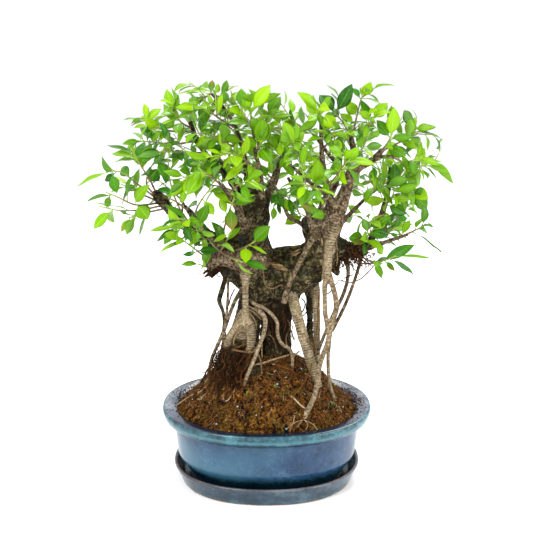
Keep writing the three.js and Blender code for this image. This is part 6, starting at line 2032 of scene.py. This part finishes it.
def blade_points(leaf, share, across_share):
    share = np.asarray(share, float)
    half = leaf["width"] * 0.5 * np.asarray(across_share, float)
    sag = leaf["droop"] * leaf["length"] * share**2
    rise = LEAF_FOLD * np.abs(half) - sag
    return (leaf["foot"] + np.multiply.outer(leaf["length"] * share, leaf["along"])
            + np.multiply.outer(rise, leaf["face"]) + np.multiply.outer(half, leaf["across"]))


SAMPLE_SHARES = np.repeat([0.36, 0.56, 0.76, 0.97], 3)
SAMPLE_ACROSS = np.array([-0.8, 0, 0.8] * 3 + [-0.1, 0, 0.1])


def front_or_up(share, spread, random):
    sideways = spread * (random() - 0.5)
    forward = -0.96 * share + spread * (random() - 0.5)
    return np.array([sideways, forward, 1.15 - 0.9 * share + spread * (random() - 0.5)])


def shoot_rows(places):
    last = len(places) - 1
    return [[*place, SHOOT_BASE_RADIUS + (SHOOT_TIP_RADIUS - SHOOT_BASE_RADIUS) * k / last]
            for k, place in enumerate(places)]


class Clearance:
    """Knows the wood and the leaves placed so far, and says whether a leaf passes all of them."""

    def __init__(self):
        rows = [row[1:] for row in [*WOOD.values(), *TWIGS.values()]]
        for branch in BRANCHES.values():
            rows.extend(shoot_rows(shoot[2:]) for shoot in branch["shoots"])
        spots, radii = [], []
        for points in rows:
            path = Path(points)
            steps = int(math.ceil(path.length() / WOOD_STEP))
            shares = np.linspace(0, 1, steps + 1)
            spots.append(path.at(shares))
            radii.append(radii_at(points, shares))
        self.wood, self.radii = np.vstack(spots), np.concatenate(radii)
        self.middles, self.samples = np.zeros((0, 3)), np.zeros((0, len(SAMPLE_SHARES), 3))
        self.gap = LEAF_CLEARANCE
        self.is_extra = False
        self.low, self.high = (np.array(corner) / MM for corner in cad_box)

    def __call__(self, leaf):
        samples = blade_points(leaf, SAMPLE_SHARES, SAMPLE_ACROSS)
        middle = blade_points(leaf, 0.6, 0.0)
        if self.is_extra and not self.is_free(samples, middle):
            return False
        near = np.linalg.norm(self.wood - middle, axis=1) < self.radii + leaf["length"]
        reach = np.linalg.norm(self.wood[near][:, None] - samples[None], axis=2)
        if (reach < self.radii[near][:, None] + WOOD_CLEARANCE).any():
            return False
        close = self.samples[np.linalg.norm(self.middles - middle, axis=1) < NEIGHBOUR_REACH]
        others = close.reshape(-1, 1, 3)
        if (np.linalg.norm(others - samples[None], axis=2) < self.gap).any():
            return False
        self.middles = np.vstack([self.middles, middle])
        self.samples = np.concatenate([self.samples, samples[None]])
        return True

    def is_free(self, samples, middle):
        """Whether an added leaf stays inside the solids' box and out of the views of the trunks."""
        inside = (samples > self.low).all() and (samples < self.high).all()
        hides = any((middle > low).all() and (middle < high).all() for low, high in OPEN_VIEWS)
        return inside and not hides


def on_chord(path, section, share):
    """A place on the straight stretches between the sections of a solid's tube."""
    steps = max(2, math.ceil(path.length() / section))
    before = min(steps - 1, math.floor(share * steps))
    near, far = path.at([before / steps, (before + 1) / steps])
    return near + (far - near) * (share * steps - before)


def nearest_foot(branch, start):
    """The place on a branch's own shoots and twigs that is nearest to where a leaf starts, and the
    leaf's stalk shift."""
    tubes = [(Path(shoot[2:]), SHOOT_SECTION) for shoot in branch["shoots"]]
    tubes += [(Path(TWIGS[twig][1:]), TWIG_SECTION) for twig in branch["twigs"]]
    shares = [LAST_FOOT * i / FOOT_PLACES for i in range(1, FOOT_PLACES + 1)]
    places = [(on_chord(path, section, share), path, share) for path, section in tubes for share in shares]
    foot, path, share = min(places, key=lambda place: float(np.linalg.norm(place[0] - start)))
    return foot, path.at(share)[0] - foot


def chosen_leaf(branch, row, random, is_clear):
    start, tip, width, front_share, young = row
    foot, shift = nearest_foot(branch, np.array(start, float))
    hint = front_or_up(front_share, 0.5, random)
    for swing in TIP_SWINGS:
        along = np.array(tip, float) - foot + [0, swing, 0]
        leaf = make_leaf(foot, along, hint, float(np.linalg.norm(along)), width, shift)
        if is_clear(leaf):
            return {**leaf, "young": young}
    return None


def shoot_leaves(count, places, random, is_clear, young, first_share=FIRST_FOOT, mean_length=LEAF_LENGTH,
                 loose=1.5):
    """Leaves along a shoot. Added ones, which are shorter, are looser and arch more unevenly."""
    path = Path(places)
    is_added = mean_length != LEAF_LENGTH
    leaves = []
    first_turn = 2 * math.pi * random()
    for i in range(count):
        share = first_share + (LAST_FOOT - first_share) * (i + 0.6) / count
        foot, along = on_chord(path, SHOOT_SECTION, share), path.along(share)[0]
        flat = unit([along[1], -along[0], 0.001])
        over = unit(np.cross(flat, along))
        length = mean_length + LEAF_LENGTH_SPREAD * (random() - 0.5) * 2
        width = length * LEAF_WIDTH_SHARE * (0.88 + 0.24 * random())
        opening = 0.35 if i == count - 1 else 1.1 + 0.5 * random()
        outward = unit(foot - CROWN_CENTRE)
        hint = outward * (0.2 if is_added else 0.55) + front_or_up(0.1 if is_added else 0.25, loose, random)
        for attempt in range(LEAF_TRIES):
            turn = first_turn + LEAF_TURN * i + 0.7 * attempt
            spread = flat * math.cos(turn) + over * math.sin(turn)
            heading = along + spread * (opening + 0.08 * attempt)
            heading[2] -= 0.12
            droop = 0.12 + 0.55 * random() if is_added else LEAF_DROOP
            leaf = make_leaf(foot, heading, hint, length, width, path.at(share)[0] - foot, droop)
            if is_clear(leaf):
                leaves.append({**leaf, "young": young})
                break
    return leaves


def side_shoots(branch, number, is_clear):
    """Thin shoots that leave a branch's own shoots and twigs, each with a few small leaves."""
    random = Stream(SIDE_SHOOT_SEED + number)
    mean_tone = sum(shoot[1] for shoot in branch["shoots"]) / len(branch["shoots"])
    carriers = [(Path(shoot[2:]), shoot[1]) for shoot in branch["shoots"]]
    carriers += [(Path(TWIGS[twig][1:]), mean_tone) for twig in branch["twigs"]]
    shoots, leaves = [], []
    for path, tone in carriers:
        count = int(round(path.length() / SIDE_SPACING))
        for k in range(count):
            share = 0.12 + 0.8 * (k + random()) / count
            start, along = path.at(share)[0], path.along(share)[0]
            sideways = unit(np.cross(along, [random() - 0.5, random() - 0.5, random() - 0.5]))
            heading = unit(along * 0.5 + sideways * 0.9 + unit(start - CROWN_CENTRE) * 0.35 + [0, 0, 0.2])
            reach = SIDE_LENGTH + SIDE_LENGTH_SPREAD * (2 * random() - 1)
            middle = start + heading * reach * 0.5 + [0, 0, 1.2]
            end = start + heading * reach + unit([random() - 0.5, random() - 0.5, random()]) * 3
            places = [start, middle, end]
            number_here = 2 + int(2.6 * random())
            own = shoot_leaves(number_here, places, random, is_clear, tone, SMALL_FIRST_FOOT, SMALL_LEAF,
                               ADDED_LOOSENESS)
            if own:
                shoots.append((places, min(1.0, tone + 0.15)))
                leaves += own
    return shoots, leaves


def grow_leaves():
    """The leaves of the solids, in the same order, then more on the same shoots and on thin side shoots."""
    is_clear = Clearance()
    grown, sides = {}, {}
    for number, (name, branch) in enumerate(BRANCHES.items()):
        random = Stream(PLACED_LEAF_SEED + number)
        rows = [chosen_leaf(branch, row, random, is_clear) for row in branch["leaves"]]
        grown[name] = [leaf for leaf in rows if leaf is not None]
    for number, (name, branch) in enumerate(BRANCHES.items()):
        for index, (count, tone, *places) in enumerate(branch["shoots"]):
            random = Stream(SHOOT_LEAF_SEED + SEEDS_PER_BRANCH * number + index)
            grown[name] += shoot_leaves(count, places, random, is_clear, tone)
    is_clear.gap = EXTRA_CLEARANCE
    is_clear.is_extra = True
    for number, (name, branch) in enumerate(BRANCHES.items()):
        for index, (count, tone, *places) in enumerate(branch["shoots"]):
            random = Stream(ADDED_LEAF_SEED + SEEDS_PER_BRANCH * number + index)
            more = count if name.startswith(SPARSE_BRANCHES) else count + 2
            grown[name] += shoot_leaves(more, places, random, is_clear, tone, MORE_FIRST_FOOT, MORE_LEAF,
                                        ADDED_LOOSENESS)
        if not name.startswith(SPARSE_BRANCHES):
            sides[name], leaves = side_shoots(branch, number, is_clear)
            grown[name] += leaves
    return grown, sides


BLADE_START = 0.17
BLADE_SHARES = [0.0, 0.06, 0.14, 0.25, 0.38, 0.52, 0.65, 0.77, 0.87, 0.94, 0.98]
BLADE_WIDTHS = [0.05, 0.24, 0.50, 0.78, 0.96, 1.0, 0.90, 0.70, 0.43, 0.19, 0.07]
BLADE_COLUMNS = np.array([-1, -0.62, -0.3, -0.06, 0.06, 0.3, 0.62, 1])
PETIOLE_HALF = 0.7
PETIOLE_SHARES = [0.0, 0.08, BLADE_START - 0.02]
PETIOLE_HALVES = [PETIOLE_HALF * 1.2, PETIOLE_HALF, PETIOLE_HALF]
PETIOLE_ROWS = len(PETIOLE_SHARES)
LEAF_ROWS = PETIOLE_ROWS + len(BLADE_SHARES)
LEAF_COLUMNS = len(BLADE_COLUMNS)


def leaf_faces(rows, columns):
    """Quads and triangles of a leaf's two sides, which share their edges, and the ring at its foot. The
    points are the upper side's, then the inner ones of the under side, then the tip."""
    inner = columns - 2
    under_start = rows * columns
    tip = under_start + rows * inner

    def upper(r, c):
        return r * columns + c

    def under(r, c):
        return upper(r, c) if c in (0, columns - 1) else under_start + r * inner + c - 1

    quads, triangles = [], []
    for r in range(rows - 1):
        for c in range(columns - 1):
            quads.append([upper(r, c), upper(r + 1, c), upper(r + 1, c + 1), upper(r, c + 1)])
            quads.append([under(r, c), under(r, c + 1), under(r + 1, c + 1), under(r + 1, c)])
    for c in range(columns - 1):
        triangles.append([upper(rows - 1, c), tip, upper(rows - 1, c + 1)])
        triangles.append([under(rows - 1, c), under(rows - 1, c + 1), tip])
    foot_ring = [upper(0, c) for c in range(columns)] + [under(0, c) for c in range(columns - 2, 0, -1)]
    return quads, triangles, [foot_ring]


LEAF_FACES = leaf_faces(LEAF_ROWS, LEAF_COLUMNS)


def add_blade(build, leaf, random):
    """A finished leaf: a round stalk, and a blade that is folded along its rib, bends down and waves a
    little."""
    width, length = leaf["width"], leaf["length"]
    shares = PETIOLE_SHARES + [BLADE_START + (1 - BLADE_START) * t for t in BLADE_SHARES]
    halves = PETIOLE_HALVES + [max(PETIOLE_HALF, 0.5 * width * w) for w in BLADE_WIDTHS]
    wave_turn, wave_size = 6.28 * random(), 0.012 + 0.028 * random()
    curl = 0.16 * (random() - 0.4)
    twist = 0.8 * (random() - 0.5)
    wide = np.abs(BLADE_COLUMNS)
    top, low, uv = [], [], []
    for k, (share, half) in enumerate(zip(shares, halves)):
        t = max(0.0, (share - BLADE_START) / (1 - BLADE_START))
        x = half * BLADE_COLUMNS
        lift = LEAF_FOLD * np.abs(x) + curl * width * wide**2 * math.sin(math.pi * t)
        lift = lift + wave_size * length * wide**2 * math.sin(9 * share + wave_turn) * t
        lift = lift + twist * x * (t - 0.3) * 0.6 - leaf["droop"] * length * share**2
        is_stalk = k < PETIOLE_ROWS
        if is_stalk:
            thick = PETIOLE_HALF * np.sqrt(np.maximum(0, 1 - wide**2))
        else:
            thick = np.where(wide < 0.1, max(0.16, 0.45 * (1 - t)), np.where(wide > 0.99, 0.0, 0.16))
        shift = leaf["stalk_shift"] * max(0.0, 1 - share / 0.4)
        base = (leaf["foot"] + shift + share * length * leaf["along"]
                + np.multiply.outer(lift, leaf["face"]) + np.multiply.outer(x, leaf["across"]))
        top.append(base + np.multiply.outer(thick * 0.8, leaf["face"]))
        low.append(base - np.multiply.outer(thick, leaf["face"]))
        uv.append(np.stack([np.full(LEAF_COLUMNS, t), np.where(is_stalk, 0, BLADE_COLUMNS)], 1))
    tip = leaf["foot"] + length * leaf["along"] - leaf["droop"] * length * leaf["face"]
    top, low, uv = np.array(top), np.array(low), np.array(uv)
    points = np.vstack([top.reshape(-1, 3), low[:, 1:-1].reshape(-1, 3), tip])
    uvs = np.vstack([uv.reshape(-1, 2), uv[:, 1:-1].reshape(-1, 2), [1, 0]])
    upper_count = LEAF_ROWS * LEAF_COLUMNS
    back = np.concatenate([np.zeros(upper_count), np.ones(len(points) - upper_count - 1), [0.5]])
    build.add(points, LEAF_FACES, uvs, young=leaf["young_here"], shade=leaf["shade"], back=back,
              dry=leaf["dry"] * uvs[:, 0] ** 2)


def make_foliage():
    leaves_look, shoots_look = leaf_material(), shoot_material()
    grown, sides = grow_leaves()
    for number, (name, leaves) in enumerate(grown.items()):
        random = Stream(LEAF_TINT_SEED + number)
        blades = Build("young", "shade", "back", "dry")
        for leaf in leaves:
            leaf["shade"] = random()
            leaf["young_here"] = float(np.clip(leaf["young"] + 1.0 * (random() - 0.5), 0, 1))
            leaf["dry"] = 0.9 * (random() > DRY_FROM)
            add_blade(blades, leaf, random)
        piece = blades.piece(f"leaves_{name}", leaves_look, "leaf")
        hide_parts(f"branch_{name}")
        stems = Build("young")
        for _, tone, *places in BRANCHES[name]["shoots"]:
            radii = np.linspace(STEM_BASE_RADIUS, STEM_TIP_RADIUS, len(places))
            rows = [[*place, radius] for place, radius in zip(places, radii)]
            add_stem(stems, rows, 0.35, 0.4 + tone)
        for places, tone in sides.get(name, []):
            rows = [[*place, radius] for place, radius in zip(places, SIDE_RADII)]
            add_stem(stems, rows, 0.1, 0.4 + tone)
        stems.piece(f"shoots_{name}", shoots_look, "leaf")


def add_stem(build, rows, woody_share, tone):
    """A thin shoot with a swelling every few millimetres, brown at its foot and green further on."""
    spots, faces, run, _, centres = tube(rows, 7, 2.2)
    knots = 1 + 0.22 * smooth_step(0.8, 1.0, np.sin(run * 2 * math.pi / 7.5)) + 0.1 * noise(spots, 3.0, 97)
    spots = centres + (spots - centres) * knots[:, None]
    green = np.clip((run / max(run) - woody_share) * 1.6 * tone, 0, 1)
    build.add(spots, faces, young=green)


# ---- stage ----

FLOOR_HALF = 80.0
FLOOR_COLOUR = (0.93, 0.93, 0.93, 1)
WORLD_STRENGTH = 1.08

# Lamps: name, place and size in metres, and power in watts.
LAMPS = (
    ("key", (-1.1, -1.5, 1.9), 0.9, 46.0),
    ("fill", (1.4, -0.9, 1.1), 0.9, 18.0),
    ("back", (0.4, 1.4, 1.9), 1.2, 40.0),
)
LAMP_AIM = (0, 0, 0.3)


def make_stage():
    floor = bpy.data.meshes.new("floor")
    corners = [(FLOOR_HALF * x, FLOOR_HALF * y, 0) for x, y in ((-1, -1), (1, -1), (1, 1), (-1, 1))]
    floor.from_pydata(corners, [], [(0, 1, 2, 3)])
    look = Shader("floor", Roughness=0.9, Base_Color=FLOOR_COLOUR, Specular_IOR_Level=0.1)
    floor.materials.append(look.material)
    plane = bpy.data.objects.new("floor", floor)
    bpy.context.scene.collection.objects.link(plane)
    world = bpy.data.worlds.new("studio")
    bpy.context.scene.world = world
    world.use_nodes = True
    background = world.node_tree.nodes["Background"]
    background.inputs["Color"].default_value = (1.0, 1.0, 1.0, 1)
    background.inputs["Strength"].default_value = WORLD_STRENGTH
    for lamp in LAMPS:
        add_lamp(*lamp)


def add_lamp(name, place, size, power):
    light = bpy.data.lights.new(name, "AREA")
    light.size = size
    light.energy = power
    lamp = bpy.data.objects.new(name, light)
    lamp.location = place
    lamp.rotation_euler = (Vector(LAMP_AIM) - Vector(place)).to_track_quat("-Z", "Y").to_euler()
    bpy.context.scene.collection.objects.link(lamp)


def make_camera():
    camera = bpy.data.cameras.new("view")
    camera.lens = CAMERA_LENS
    camera.sensor_width = SENSOR_WIDTH
    holder = bpy.data.objects.new("view", camera)
    _, _, eye = view_axes()
    holder.location = Vector(eye) * MM
    holder.rotation_euler = (math.radians(90 - VIEW_TILT), 0, 0)
    bpy.context.scene.collection.objects.link(holder)
    bpy.context.scene.camera = holder
    bpy.context.scene.view_settings.view_transform = "Standard"


make_camera()
make_stage()
make_tray()
make_pot()
finish_screens()
make_soil()
make_soil_cover()
make_wood()
make_fine_roots()
make_torn_wood()
make_foliage()
